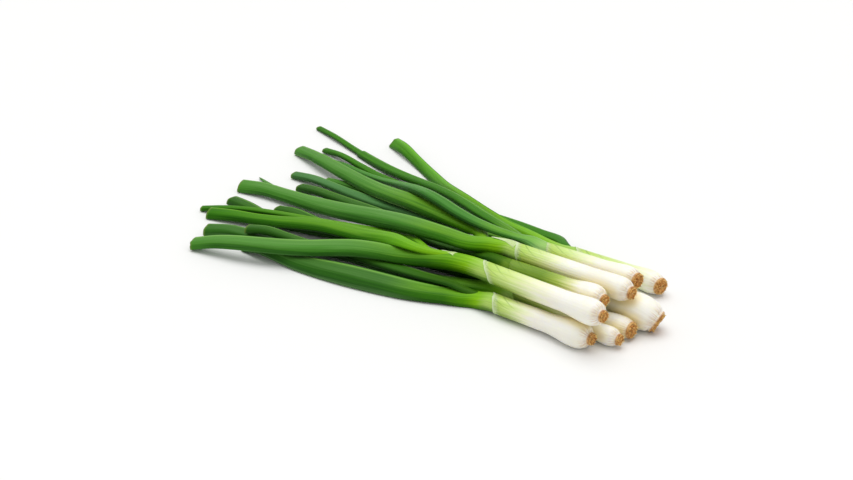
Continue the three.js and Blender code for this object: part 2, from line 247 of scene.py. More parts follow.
@dataclass
class Sheet:
    """A mesh through rows of points, closed round each row, with its surface values.

    Attributes:
        name: The piece's name.
        points: Rows, columns and coordinates.
        values: A value for each point, or a vector, by attribute name.
        capped: Whether the first and the last row are closed by a middle point.
        looped: Whether the last row meets the first.
    """

    name: str
    points: np.ndarray
    values: dict[str, np.ndarray] = field(default_factory=dict)
    capped: tuple[bool, bool] = (True, True)
    looped: bool = False

    def faces(self) -> list[tuple[int, ...]]:
        """The quads between the rows and the triangles of the caps."""
        rows, columns = self.points.shape[:2]
        here = np.arange(rows * columns).reshape(rows, columns)
        there = np.roll(here, -1, axis=1)
        joined = slice(None) if self.looped else slice(0, -1)
        next_here, next_there = (np.roll(part, -1, axis=0)[joined] for part in (here, there))
        quads = np.stack([here[joined], next_here, next_there, there[joined]], axis=-1)
        faces = [tuple(quad) for quad in quads.reshape(-1, 4).tolist()]
        extra = rows * columns
        if self.capped[0]:
            faces += [(extra, a, b) for a, b in zip(here[0].tolist(), there[0].tolist())]
            extra += 1
        if self.capped[1]:
            faces += [(extra, b, a) for a, b in zip(here[-1].tolist(), there[-1].tolist())]
        return faces

    def with_caps(self, values: np.ndarray) -> np.ndarray:
        """Values of all points in one list, with the caps' middles at its end."""
        flat = values.reshape(-1, *values.shape[2:])
        ends = [values[row].mean(axis=0)[None] for row, capped in zip((0, -1), self.capped) if capped]
        return np.concatenate([flat, *ends])

    def build(self) -> Piece:
        """Makes the object and writes its values as attributes."""
        mesh = bpy.data.meshes.new(self.name)
        mesh.from_pydata(self.with_caps(self.points).tolist(), [], self.faces())
        for name, values in self.values.items():
            kind = "FLOAT_VECTOR" if values.ndim == 3 else "FLOAT"
            key = "vector" if values.ndim == 3 else "value"
            layer = mesh.attributes.new(name, kind, "POINT")
            layer.data.foreach_set(key, self.with_caps(values).astype(np.float32).ravel())
        mesh.shade_smooth()
        return linked(self.name, mesh)


def linked(name: str, data: bpy.types.ID) -> Piece:
    """A new object in the scene."""
    made = bpy.data.objects.new(name, data)
    bpy.context.scene.collection.objects.link(made)
    return made


def place(piece: Piece, finish: Material, nodes: Sequence[str] = ()) -> None:
    """Gives a piece its finish and says what it rides on and stands for."""
    if not piece.data.materials:
        piece.data.materials.append(finish)
    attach(piece, "root")
    if nodes:
        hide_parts(*nodes)
    log.info("%s: %d faces", piece.name, len(piece.data.polygons))


# ---------------------------------------------------------------- node trees

class Graph:
    """A short way to write the nodes of one tree."""

    def __init__(self, tree: bpy.types.NodeTree) -> None:
        """Starts with an empty tree."""
        self.tree = tree
        self.tree.nodes.clear()

    def add(self, kind: str, inputs: dict | None = None, **settings: object) -> bpy.types.Node:
        """Adds a node.

        Args:
            kind: The node's type.
            inputs: A value or another node's output for each input, by name or number.
            **settings: The node's own properties.

        Returns:
            The new node.
        """
        node = self.tree.nodes.new(kind)
        for name, value in settings.items():
            setattr(node, name, value)
        for name, value in (inputs or {}).items():
            if isinstance(value, Socket):
                self.tree.links.new(value, node.inputs[name])
            else:
                node.inputs[name].default_value = value
        return node

    def maths(self, operation: str, *values: Value) -> Socket:
        """The result of a sum on one, two or three values or outputs."""
        node = self.add("ShaderNodeMath", dict(enumerate(values)), operation=operation)
        return node.outputs[0]

    def range(self, value: Value, low: float, high: float, out_low: float = 0.0,
              out_high: float = 1.0) -> Socket:
        """A value, moved smoothly from one range to another and held inside it."""
        inputs = {"Value": value, "From Min": low, "From Max": high, "To Min": out_low, "To Max": out_high}
        return self.add("ShaderNodeMapRange", inputs, interpolation_type="SMOOTHSTEP").outputs["Result"]

    def mix(self, part: Value, first: Value, second: Value, blend: str = "MIX") -> Socket:
        """A colour between two, or one blended over the other."""
        inputs = {0: part, 6: first, 7: second}  # the numbers of the colour sockets
        return self.add("ShaderNodeMix", inputs, data_type="RGBA", blend_type=blend).outputs[2]

    def ramp(self, value: Value, stops: Sequence[tuple[float, tuple]]) -> Socket:
        """Colours along a value, from stops of place and colour."""
        node = self.add("ShaderNodeValToRGB", {"Fac": value})
        band = node.color_ramp
        while len(band.elements) < len(stops):
            band.elements.new(1.0)
        for element, (position, colour) in zip(band.elements, stops):
            element.position = position
            element.color = colour
        return node.outputs["Color"]

    def attribute(self, name: str, output: str = "Fac") -> Socket:
        """A piece's own surface value."""
        return self.add("ShaderNodeAttribute", attribute_name=name).outputs[output]


def colour(red: int, green: int, blue: int) -> tuple[float, float, float, float]:
    """A colour on the usual screen scale from 0 to 255, as linear light."""
    def linear(level: float) -> float:
        """One channel."""
        part = level / 255
        return part / 12.92 if part <= 0.04045 else ((part + 0.055) / 1.055) ** 2.4
    return (linear(red), linear(green), linear(blue), 1.0)


def new_group(name: str, inputs: dict[str, float], outputs: dict[str, str]) -> bpy.types.ShaderNodeTree:
    """An empty shader group with named sockets.

    Args:
        name: The group's name.
        inputs: The value that each number input starts with.
        outputs: The socket type of each output.

    Returns:
        The new node tree.
    """
    group = bpy.data.node_groups.new(name, "ShaderNodeTree")
    for label, value in inputs.items():
        socket = group.interface.new_socket(label, in_out="INPUT", socket_type="NodeSocketFloat")
        socket.default_value = value
    for label, kind in outputs.items():
        group.interface.new_socket(label, in_out="OUTPUT", socket_type=kind)
    return group


def streaks_group() -> bpy.types.ShaderNodeTree:
    """Streaks that run along a stem or a leaf, wide or fine.

    Returns:
        A group with the inputs Around, Along, Detail, Low and High and the output Streak.
    """
    inputs = {"Around": 8.0, "Along": 20.0, "Detail": 2.0, "Low": 0.35, "High": 0.65}
    group = new_group("lengthwise_streaks", inputs, {"Streak": "NodeSocketFloat"})
    graph = Graph(group)
    given = graph.add("NodeGroupInput").outputs
    scale = graph.add("ShaderNodeCombineXYZ", {
        "X": given["Around"], "Y": given["Around"], "Z": given["Along"]})
    skin = graph.attribute("skin", "Vector")
    spread = graph.add("ShaderNodeVectorMath", {0: skin, 1: scale.outputs[0]}, operation="MULTIPLY")
    noise = graph.add("ShaderNodeTexNoise", {"Vector": spread.outputs[0], "Scale": 1.0,
                                             "Detail": given["Detail"], "Roughness": 0.6})
    streak = graph.add("ShaderNodeMapRange", {"Value": noise.outputs["Fac"], "From Min": given["Low"],
                                              "From Max": given["High"]})
    graph.add("NodeGroupOutput", {"Streak": streak.outputs["Result"]})
    return group


def blotches_group() -> bpy.types.ShaderNodeTree:
    """Soft patches over a piece.

    Returns:
        A group with the inputs Scale, Low and High and the output Patch.
    """
    inputs = {"Scale": 60.0, "Low": 0.35, "High": 0.65}
    group = new_group("soft_blotches", inputs, {"Patch": "NodeSocketFloat"})
    graph = Graph(group)
    given = graph.add("NodeGroupInput").outputs
    spot = graph.add("ShaderNodeTexCoord").outputs["Object"]
    noise = graph.add("ShaderNodeTexNoise", {"Vector": spot, "Scale": given["Scale"], "Detail": 3.0})
    patch = graph.add("ShaderNodeMapRange", {"Value": noise.outputs["Fac"], "From Min": given["Low"],
                                             "From Max": given["High"]})
    graph.add("NodeGroupOutput", {"Patch": patch.outputs["Result"]})
    return group


@dataclass
class Groups:
    """The shader groups that several finishes share."""

    streaks: bpy.types.ShaderNodeTree = field(default_factory=streaks_group)
    blotches: bpy.types.ShaderNodeTree = field(default_factory=blotches_group)

    def streak(self, graph: Graph, around: float, along: float, low: float = 0.35, high: float = 0.65,
               detail: float = 2.0) -> Socket:
        """Places the streaks in a material and gives their output."""
        inputs = {"Around": around, "Along": along, "Low": low, "High": high, "Detail": detail}
        return graph.add("ShaderNodeGroup", inputs, node_tree=self.streaks).outputs["Streak"]

    def blotch(self, graph: Graph, scale: float, low: float = 0.35, high: float = 0.65) -> Socket:
        """Places the blotches in a material and gives their output."""
        inputs = {"Scale": scale, "Low": low, "High": high}
        return graph.add("ShaderNodeGroup", inputs, node_tree=self.blotches).outputs["Patch"]


# ---------------------------------------------------------------- finishes

def new_material(name: str) -> tuple[Material, Graph]:
    """A material with an empty tree."""
    material = bpy.data.materials.new(name)
    material.use_nodes = True
    return material, Graph(material.node_tree)


def skin_shader(graph: Graph, base: Value, roughness: Value, bump: Value, inputs: dict) -> None:
    """Ends a material with a plant-skin shader.

    Args:
        graph: The material's graph.
        base: The colour output.
        roughness: The roughness output or value.
        bump: The height output, in millimetres.
        inputs: Plain values of the shader's other sockets.
    """
    normal = graph.add("ShaderNodeBump", {"Height": bump, "Distance": MM, "Strength": 1.0})
    sockets = {"Base Color": base, "Roughness": roughness, "Normal": normal.outputs["Normal"], **inputs}
    shader = graph.add("ShaderNodeBsdfPrincipled", sockets)
    graph.add("ShaderNodeOutputMaterial", {"Surface": shader.outputs[0]})


@dataclass(frozen=True)
class LeafFinish:
    """The skin of a leaf, pale at its base and green along its length.

    Attributes:
        name: The material's name.
        under: The colour of its underside, painted shade.
        deep: The darkest colour, painted shade low on its flanks.
        body: The colour of its upper flanks.
        bloom_and_highlight: The colour of the waxy coat in its wider streaks, and of the painted highlight
            along its top.
        fresh: The colour where the leaf is young.
        bright: The colour between fresh and lime.
        lime: The colour nearer to the neck.
        pale: The colour where the leaf leaves the neck.
        highlight_line: The colour of the painted highlight lines along it.
        cut: The colour of its cut rim.
        inside: The colour inside its hollow.
        young_top_highlight: What brightens its young base along the top, a painted highlight.
        young_flank_shade: What darkens its young base low on its flanks, painted shade.
        line: What darkens its fine lines.
    """

    name: str
    under: tuple
    deep: tuple
    body: tuple
    bloom_and_highlight: tuple
    fresh: tuple = colour(56, 116, 14)
    bright: tuple = colour(92, 156, 2)
    lime: tuple = colour(140, 196, 18)
    pale: tuple = colour(188, 220, 112)
    highlight_line: tuple = colour(136, 190, 84)
    cut: tuple = colour(104, 134, 52)
    inside: tuple = colour(120, 160, 60)
    young_top_highlight: tuple = colour(142, 202, 56)
    young_flank_shade: tuple = colour(122, 152, 104)
    line: tuple = colour(164, 188, 140)

    def make(self, groups: Groups) -> Material:
        """Builds the material."""
        material, graph = new_material(self.name)
        wide = groups.streak(graph, 2.2, 14.0)
        medium = groups.streak(graph, 6.0, 9.0, 0.36, 0.64)
        fine = groups.streak(graph, 15.0, 16.0, 0.34, 0.66, 3.0)
        skin, level = self.grown(graph, wide)
        young = graph.attribute("young")
        uneven = graph.maths("MULTIPLY_ADD", graph.maths("SUBTRACT", medium, 0.5), 0.05, young)
        tint = graph.ramp(uneven, [(0.0, self.fresh), (0.58, self.fresh), (0.74, self.bright),
                                   (0.87, self.lime), (0.97, self.pale)])
        # Painted shade low on the young base's flanks and a painted highlight along its top.
        shaded = graph.mix(graph.range(level, 0.62, 0.2, 0.0, 0.85), tint, self.young_flank_shade, "MULTIPLY")
        lit = graph.mix(graph.range(level, 0.7, 1.0, 0.0, 0.42), shaded, self.young_top_highlight)
        coloured = graph.mix(graph.range(uneven, 0.05, 0.5), skin, lit)
        grown = graph.range(young, 0.5, 0.0)
        waxy = graph.maths("MULTIPLY", graph.maths("MULTIPLY", medium, groups.blotch(graph, 30.0)), grown)
        lined = self.lined(graph, coloured, fine, waxy)
        bared = graph.mix(graph.maths("MULTIPLY", graph.attribute("bare"), 0.55), lined, self.body)
        # Painted highlight lines along the leaf, brighter where the streaks are.
        highlight_line = graph.maths("MULTIPLY", graph.attribute("highlight_line"), graph.range(medium, 0.0, 1.0, 0.4, 1.0))
        highlighted = graph.mix(highlight_line, bared, self.highlight_line)
        inside = graph.mix(graph.attribute("inside"), highlighted, self.inside)
        rim = graph.mix(graph.attribute("rim"), inside, self.cut)
        rough = graph.range(fine, 0.0, 1.0, 0.34, 0.46)
        height = graph.maths("MULTIPLY_ADD", fine, 0.05, graph.maths("MULTIPLY", medium, 0.07))
        skin_shader(graph, rim, rough, height, {"Specular IOR Level": 0.08})
        return material

    def grown(self, graph: Graph, wide: Socket) -> tuple[Socket, Socket]:
        """The skin of the grown leaf, painted darker low round it and lighter along its top, and how high
        each place is round it from 0 to 1.
        """
        above = graph.attribute("above")
        streaked = graph.maths("MULTIPLY_ADD", graph.maths("SUBTRACT", wide, 0.5), 0.45, above)
        level = graph.maths("MULTIPLY_ADD", streaked, 0.5, 0.5)
        # Painted shade and highlight: darker on the underside and low flanks, lighter along the top.
        skin = graph.ramp(level, [(0.0, self.under), (0.26, self.under), (0.52, self.deep),
                                  (0.74, self.body), (0.97, self.bloom_and_highlight)])
        return skin, level

    def lined(self, graph: Graph, base: Socket, fine: Socket, waxy: Socket) -> Socket:
        """The base with fine darker lines and wider waxy ones along the leaf."""
        darker = graph.mix(graph.maths("MULTIPLY", fine, 0.5), base, self.line, "MULTIPLY")
        return graph.mix(graph.maths("MULTIPLY", waxy, 0.26), darker, self.bloom_and_highlight)


@dataclass(frozen=True)
class ShaftFinish:
    """The skin of a shaft, green-veined at the neck, white lower down and tan at the roots.

    Attributes:
        name: The material's name.
        white: The colour of the bulb.
        cream: The first colour towards the neck, then pale and then green at the neck.
        vein: The colour of the fine veins.
        fold: The colour of the curved folds below the neck.
        lip: The colour of the rim.
        tan: The colour of the dry skin at the roots, with specks of brown.
        warm: What warms it in soft patches.
        low_flank_shade: What darkens its greener part low on its flanks, painted shade.
        gap_shade: What darkens it where another shaft lies near, painted shade between the shafts.
    """

    name: str = "shaft_skin"
    white: tuple = colour(248, 246, 236)
    cream: tuple = colour(240, 244, 206)
    pale: tuple = colour(214, 234, 148)
    green: tuple = colour(180, 214, 86)
    vein: tuple = colour(142, 188, 40)
    fold: tuple = colour(104, 150, 34)
    lip: tuple = colour(228, 241, 196)
    tan: tuple = colour(212, 164, 98)
    brown: tuple = colour(170, 114, 52)
    warm: tuple = colour(242, 230, 198)
    low_flank_shade: tuple = colour(150, 172, 64)
    gap_shade: tuple = colour(242, 222, 136)

    def make(self, groups: Groups) -> Material:
        """Builds the material."""
        material, graph = new_material(self.name)
        broad = groups.streak(graph, 3.0, 16.0)
        greening = graph.attribute("green")
        uneven = graph.maths("MULTIPLY_ADD", graph.maths("SUBTRACT", broad, 0.5), 0.16, greening)
        ground = graph.ramp(uneven, [(0.0, self.white), (0.06, self.white), (0.3, self.cream),
                                     (0.62, self.pale), (1.0, self.green)])
        veins = groups.streak(graph, 15.0, 9.0, 0.45, 0.62, 2.0)
        veined = graph.maths("MULTIPLY", veins, graph.range(uneven, 0.15, 0.9, 0.0, 0.42))
        lined = graph.mix(veined, ground, self.vein)
        folds = self.folds(graph, groups)
        folded = graph.mix(graph.maths("MULTIPLY", folds, 0.5), lined, self.fold)
        patch = groups.blotch(graph, 60.0, 0.4, 0.75)
        warm = graph.mix(graph.maths("MULTIPLY", patch, 0.2), folded, self.warm, "MULTIPLY")
        # Painted shade low on the flanks of the greener part.
        low = graph.range(graph.attribute("above"), 0.35, -0.6)
        low_flank_shade = graph.maths("MULTIPLY", graph.maths("MULTIPLY", low, 0.75), graph.range(uneven, 0.1, 0.7))
        shaded = graph.mix(low_flank_shade, warm, self.low_flank_shade, "MULTIPLY")
        # Painted shade, warm and yellowish, where another shaft lies near.
        near = graph.maths("MULTIPLY", graph.attribute("near"), 0.56)
        gap_shaded = graph.mix(near, shaded, self.gap_shade, "MULTIPLY")
        root = graph.attribute("root")
        pleats = groups.streak(graph, 10.0, 12.0, 0.42, 0.6)
        dry = graph.maths("MULTIPLY", graph.range(root, 0.3, 0.9, 0.0, 0.52), pleats)
        specks = groups.blotch(graph, 620.0, 0.44, 0.58)
        tanned = graph.mix(specks, self.tan, self.brown)
        rimmed = graph.mix(graph.maths("MAXIMUM", dry, graph.range(root, 0.9, 1.0)), gap_shaded, tanned)
        papery = graph.maths("MULTIPLY", graph.attribute("rim"), graph.range(veins, 0.0, 1.0, 0.75, 0.3))
        edge = graph.mix(papery, rimmed, self.lip)
        rough = graph.range(broad, 0.0, 1.0, 0.3, 0.42)
        height = graph.maths("MULTIPLY_ADD", veins, 0.04, graph.maths("MULTIPLY", broad, 0.08))
        raised = graph.maths("MULTIPLY_ADD", folds, 0.05, height)
        skin_shader(graph, edge, rough, raised, {
            "Subsurface Weight": 0.3, "Subsurface Scale": 0.004, "Specular IOR Level": 0.4,
            "Subsurface Radius": (1.0, 0.9, 0.35)})
        return material

    def folds(self, graph: Graph, groups: Groups) -> Socket:
        """Thin curved lines where the outer skin wraps over itself below the neck."""
        parts = graph.add("ShaderNodeSeparateXYZ", {0: graph.attribute("fold", "Vector")}).outputs
        shift = graph.maths("MULTIPLY", groups.streak(graph, 1.5, 30.0), 0.7)
        wave = graph.maths("SINE", graph.maths("MULTIPLY_ADD", parts["X"], 8.0, shift))
        return graph.maths("MULTIPLY", graph.range(wave, 0.8, 1.0), parts["Y"])


@dataclass(frozen=True)
class CollarFinish:
    """The thin dry skin at a neck: pale, with fine lengthwise lines."""

    name: str = "papery_collar"
    pale: tuple = colour(214, 235, 166)
    line: tuple = colour(196, 224, 128)
    edge: tuple = colour(224, 240, 190)

    def make(self, groups: Groups) -> Material:
        """Builds the material."""
        material, graph = new_material(self.name)
        fine = groups.streak(graph, 14.0, 60.0, 0.35, 0.62, 3.0)
        base = graph.mix(fine, self.line, self.pale)
        edge = graph.mix(graph.maths("MULTIPLY", graph.attribute("rim"), 0.8), base, self.edge)
        height = graph.maths("MULTIPLY", fine, 0.06)
        skin_shader(graph, edge, 0.45, height, {
            "Subsurface Weight": 0.2, "Subsurface Scale": 0.003, "Specular IOR Level": 0.4,
            "Subsurface Radius": (1.0, 0.9, 0.4)})
        return material


@dataclass(frozen=True)
class RootFinish:
    """The cut base of an onion: tan and brown, with a paler middle."""

    name: str = "root_base"
    brown: tuple = colour(198, 130, 56)
    tan: tuple = colour(236, 186, 108)
    core: tuple = colour(250, 218, 136)
    dark: tuple = colour(114, 66, 20)

    def make(self, groups: Groups) -> Material:
        """Builds the material."""
        material, graph = new_material(self.name)
        ring = graph.attribute("ring")
        patch = groups.blotch(graph, 420.0, 0.4, 0.6)
        grain = groups.blotch(graph, 900.0, 0.5, 0.64)
        uneven = graph.maths("MULTIPLY_ADD", graph.maths("SUBTRACT", patch, 0.5), 0.5, ring)
        ground = graph.ramp(uneven, [(0.0, self.core), (0.35, self.tan), (0.55, self.brown),
                                     (0.75, self.tan), (1.0, self.brown)])
        marked = graph.mix(graph.maths("MULTIPLY", grain, 0.58), ground, self.dark)
        height = graph.maths("MULTIPLY_ADD", patch, 0.25, graph.maths("MULTIPLY", grain, 0.15))
        skin_shader(graph, marked, 0.8, height, {})
        return material


@dataclass(frozen=True)
class FloorFinish:
    """The plain pale surface that the bunch lies on."""

    name: str = "pale_floor"
    shade: tuple = (0.86, 0.86, 0.85, 1.0)

    def make(self) -> Material:
        """Builds the material."""
        material, graph = new_material(self.name)
        shader = graph.add("ShaderNodeBsdfPrincipled", {"Base Color": self.shade, "Roughness": 0.6,
                                                        "Specular IOR Level": 0.2})
        graph.add("ShaderNodeOutputMaterial", {"Surface": shader.outputs[0]})
        return material


class Skin(Enum):
    """The skins that the leaves have."""

    BLUISH = LeafFinish("leaf_bluish", colour(62, 112, 46), colour(36, 92, 12), colour(70, 134, 38),
                        colour(96, 151, 67))
    TEAL = LeafFinish("leaf_teal", colour(58, 98, 50), colour(40, 86, 34), colour(64, 116, 54),
                      colour(88, 140, 80))
    DUSKY = LeafFinish("leaf_dusky", colour(86, 126, 72), colour(38, 86, 24), colour(48, 104, 24),
                       colour(72, 122, 48))
    MIDDLE = LeafFinish("leaf_middle", colour(44, 92, 20), colour(28, 78, 6), colour(48, 108, 10),
                        colour(66, 132, 18), highlight_line=colour(116, 184, 40))
    YOUNG = LeafFinish("leaf_young", colour(40, 90, 8), colour(28, 80, 2), colour(44, 106, 2),
                       colour(68, 134, 10), fresh=colour(56, 122, 4), bright=colour(98, 168, 10),
                       highlight_line=colour(140, 204, 40))
    LIME = LeafFinish("leaf_lime", colour(60, 122, 14), colour(44, 104, 4), colour(72, 142, 14),
                      colour(100, 172, 46), fresh=colour(64, 132, 4), bright=colour(98, 168, 10),
                      highlight_line=colour(140, 204, 40))
    SILVERY = LeafFinish("leaf_silvery", colour(48, 96, 34), colour(30, 80, 14), colour(50, 112, 30),
                         colour(82, 146, 58), fresh=colour(70, 132, 44), bright=colour(98, 156, 76),
                         lime=colour(124, 178, 100), pale=colour(172, 206, 138))
    SHADED = LeafFinish("leaf_shaded", colour(36, 76, 18), colour(22, 64, 6), colour(38, 88, 10),
                        colour(60, 112, 26), fresh=colour(36, 84, 6), bright=colour(50, 96, 4),
                        lime=colour(70, 112, 8), pale=colour(112, 146, 40), young_top_highlight=colour(78, 124, 20))


# ---------------------------------------------------------------- leaves

FACET_POWER = 20  # the higher, the sharper the corners between a leaf's flat sides
SLAB_POWER = -8  # makes the corners of a leaf's slab in its neck blunt
INNER_GIRTH = 0.42  # how thick a base inside the outer leaf's tube is, against the neck
INNER_PLACE = 0.6  # how much of its own height in the neck such a base keeps
BESIDE_GIRTH = 0.2  # how narrow a base that lies beside its packed place starts
STEP_EDGE = 0.8 * MM  # half the length of the edge where a leaf is torn narrower
STEP_FADE = 90 * MM  # how far before that edge the leaf has its plain width again
FLARE_REACH = 40 * MM  # how far from its end a leaf starts to open
CUT_REACH = 14 * MM  # how far from its end a leaf's rows start to lean with its cut
SLIVER = (2.6 * MM, 0.22)  # the length of a torn end's sliver, and its width in radians
RAGGED = 0.35 * MM  # how ragged a torn end is
# The width of a painted highlight line along a leaf.
HIGHLIGHT_LINE_WIDTH = 0.13  # the width of a bright line along a leaf, in radians
HOLLOW_ROWS = (0.0, 0.2, 0.8, 2.5, 6.0, 12.0, 19.0, 26.0)  # how deep they lie, against the last


class End(Enum):
    """How a leaf ends."""

    CUT = "cut"
    POINTED = "pointed"
    TORN = "torn"


@dataclass
class Leaf:
    """One hollow leaf, from inside its neck to its far end.

    Attributes:
        name: The node that it stands for.
        skin: Which skin it has.
        end: How it ends.
        reach: How far its paler base reaches, in metres.
        sheath: How far its base stays a full round tube, for the outer leaf of an onion.
        inner: How far its base stays inside the outer leaf's tube.
        slant: How far its cut leans, against its width there.
        slant_angle: The side that is cut back most, in degrees.
        facets: The flat sides along it, as an angle and a distance from its middle.
        step: Where it is torn narrower, from its end in metres, and how wide it is before.
        loosening: Over what distance it comes free of the outer leaf's tube.
        flare: How much wider it opens towards its cut end.
        girth: How full it is against its solid, for one that lies deep in the bunch.
        highlight_lines: The angles of its painted highlight lines, in degrees, and how strong they are.
        sag: How far it sags near its base, and at what distance it sags most.
        seed: Fixes its unevenness.
        sides: The points round it.
        spacing: The distance between its rows of points.
        wall: How thick its wall is at its cut.
        hollow: How deep its hollow is.
        sunk: How far its base goes on inside the neck.
        parting: Over what distance it takes its own section, past its slab of the neck.
        release: Over what distance its round tube becomes its own section.
        beside: How far sideways and up its base lies from its packed place, for one whose solid
            turns aside at once. Its base is also narrower and its line rounder.
        rounding: Half the length that such a line is averaged over.
        ribs: The number of fine ribs round it.
        rib_height: Their height.
        point_length: How long its point is, where it has one.
    """

    name: str
    skin: Skin = Skin.MIDDLE
    end: End = End.CUT
    reach: float = 30 * MM
    sheath: float = 0.0
    inner: float = 0.0
    slant: float = 0.05
    slant_angle: float = 90.0
    facets: tuple[tuple[float, float], ...] = ((95.0, 0.93), (170.0, 0.93), (262.0, 0.9), (340.0, 0.93))
    step: tuple[float, float] = (0.0, 1.0)
    loosening: float = 30 * MM
    flare: float = 1.17
    girth: float = 1.0
    highlight_lines: tuple[tuple[float, float], ...] = ((64.0, 0.62),)
    sag: tuple[float, float] = (0.0, 20 * MM)
    seed: int = 1
    sides: int = 84
    spacing: float = 1.7 * MM
    wall: float = 0.5 * MM
    hollow: float = 26 * MM
    sunk: float = 8 * MM
    parting: float = 26 * MM
    release: float = 18 * MM
    beside: tuple[float, float] = (0.0, 0.0)
    rounding: float = 12 * MM
    ribs: int = 21
    rib_height: float = 0.045 * MM
    point_length: float = 16 * MM

    def read(self, shaft: "Shaft", outer: "Leaf") -> None:
        """Reads the leaf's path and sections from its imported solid.

        Args:
            shaft: The shaft that it grows from.
            outer: The outer leaf of its onion, which may be itself.
        """
        self.outer = outer
        rings = rings_of(self.name, LEAF_CAD_SIDES, from_roots=True)[:-1]
        self.path = Path(rings)
        _, side, up = self.path.frames(self.path.at)
        away = rings - self.path.middles[:, None]
        across = (away * side[:, None]).sum(-1)
        above = (away * up[:, None]).sum(-1)
        flat = np.stack([across, above], axis=-1)
        spread = 2 / LEAF_CAD_SIDES * np.einsum("rsi,rsj->rij", flat, flat)
        area = np.sqrt(np.linalg.det(spread))[:, None, None]
        trace = np.trace(spread, axis1=1, axis2=2)[:, None, None]
        self.sections = (spread + area * np.eye(2)) / np.sqrt(trace + 2 * area)
        self.neck = shaft.neck
        self.slot_half = (above[0].max() - above[0].min()) / 2 + GAP / 2
        self.slot_middle = float((self.path.middles[0] - shaft.path.middles[0]) @ up[0])

    def outline(self, angle: np.ndarray, at: np.ndarray) -> np.ndarray:
        """How far the leaf's outline lies from its middle, against its plain oval."""
        turn = np.radians(8.0) * waves(np.zeros_like(angle), at, self.seed, 160 * MM, 0)
        total = np.ones_like(angle)
        for degrees, distance in self.facets:
            towards = np.cos(angle - math.radians(degrees) - turn)
            total = total + np.clip(towards / distance, 0.0, None) ** FACET_POWER
        plain = total ** (-1 / FACET_POWER)
        return plain / plain.mean() * (1 + 0.018 * waves(angle, at, self.seed + 50, 45 * MM))

    def slab(self, angle: np.ndarray) -> np.ndarray:
        """The leaf's section in its neck: a level slab of the round."""
        sine = np.sin(angle)
        to_slab = self.slot_half / np.maximum(np.abs(sine), 1e-6)
        lift = self.slot_middle * sine
        to_neck = -lift + np.sqrt(lift ** 2 + self.neck ** 2 - self.slot_middle ** 2)
        radius = (to_slab ** SLAB_POWER + to_neck ** SLAB_POWER) ** (1 / SLAB_POWER)
        return np.stack([radius * np.cos(angle), radius * sine], axis=-1)

    def surface(self, at: np.ndarray, angle: np.ndarray, inset: float = 0.0) -> np.ndarray:
        """Points of the leaf's outside.

        Args:
            at: Distances along the leaf.
            angle: Angles round it, of the same shape.
            inset: How far inside the surface they lie.

        Returns:
            The points, with the arrays' shape and coordinates.
        """
        flat_at = at.ravel()
        flat_angle = angle.ravel()
        middle, side, up = self.line(flat_at)
        section = smooth_between(self.path.at, self.sections, np.clip(flat_at, 0, self.path.length))
        circle = np.stack([np.cos(flat_angle), np.sin(flat_angle)], axis=-1)
        oval = np.einsum("nij,nj->ni", section, circle)
        oval = oval * (self.outline(flat_angle, flat_at) * self.fullness(flat_at))[:, None]
        within = smoothstep(flat_at, -5 * MM, 2 * MM)[:, None] * 0.06 + 0.93  # narrower in the neck
        if self.sheath:
            held = 1 - smoothstep(flat_at, self.sheath, self.sheath + self.release)[:, None]
            tube = self.neck * within * circle - self.lowered(flat_at) * [0.0, self.slot_middle]
            flat = (1 - held) * oval + held * tube
        else:
            part = smoothstep(flat_at, 0.0, self.parting)[:, None]
            flat = (1 - part) * self.slab(flat_angle) * within + part * oval
        if self.inner:
            held = self.held(flat_at)[:, None]
            flat = (1 - held) * flat + held * INNER_GIRTH * self.neck * circle
        if any(self.beside):
            risen = smoothstep(flat_at, -3 * MM, 34 * MM)[:, None]
            flat = flat * (BESIDE_GIRTH + (1 - BESIDE_GIRTH) * risen)
        away = np.maximum(np.linalg.norm(flat, axis=-1, keepdims=True), 1e-9)
        rib = self.rib_height * np.abs(np.sin(self.ribs * flat_angle / 2 + 0.6 * np.sin(3 * flat_angle)))
        thinner = inset + rib * smoothstep(flat_at, 5 * MM, 30 * MM)
        flat = flat * np.clip(1 - thinner[:, None] / away, 0.02, None)
        points = middle + flat[:, :1] * side + flat[:, 1:] * up
        points[:, 2] = np.maximum(points[:, 2], FLOOR_CLEARANCE)
        return points.reshape(*at.shape, 3)

    def middle(self, at: np.ndarray) -> np.ndarray:
        """The middles of the leaf, lower where it sags and rounder where its solid turns aside."""
        depth, where = self.sag
        middle = self.path.middle(at)
        middle[:, 2] -= depth * smoothstep(at, 0.0, where) * (1 - smoothstep(at, where, 3 * where))
        if any(self.beside):
            width = self.rounding * smoothstep(at, -10 * MM, 12 * MM)
            around = [self.path.middle(at + step * width) for step in np.linspace(-1, 1, 9)]
            rounded = 1 - smoothstep(at, 25 * MM, 70 * MM)
            middle += rounded[:, None] * (np.mean(around, axis=0) - middle)
        return middle

    def held(self, at: np.ndarray) -> np.ndarray:
        """How firmly the outer leaf's tube still holds the leaf."""
        return 1 - smoothstep(at, self.inner, self.inner + self.loosening)

    def line(self, at: np.ndarray) -> Frames:
        """The leaf's middles and its directions sideways and up, at some distances."""
        middle = self.middle(at)
        _, side, up = frames_along(self.middle if any(self.beside) else self.path.middle, at)
        if self.inner:
            _, _, tube_up = self.outer.path.frames(at)
            offset = INNER_PLACE * self.slot_middle - self.outer.slot_middle
            tube = self.outer.middle(at) + offset * tube_up
            held = self.held(at)[:, None]
            middle = (1 - held) * middle + held * tube
        if any(self.beside):
            near = (smoothstep(at, -6 * MM, 9 * MM) * (1 - smoothstep(at, 9 * MM, 48 * MM)))[:, None]
            middle = middle + near * (self.beside[0] * side + self.beside[1] * up)
        return middle, side, up

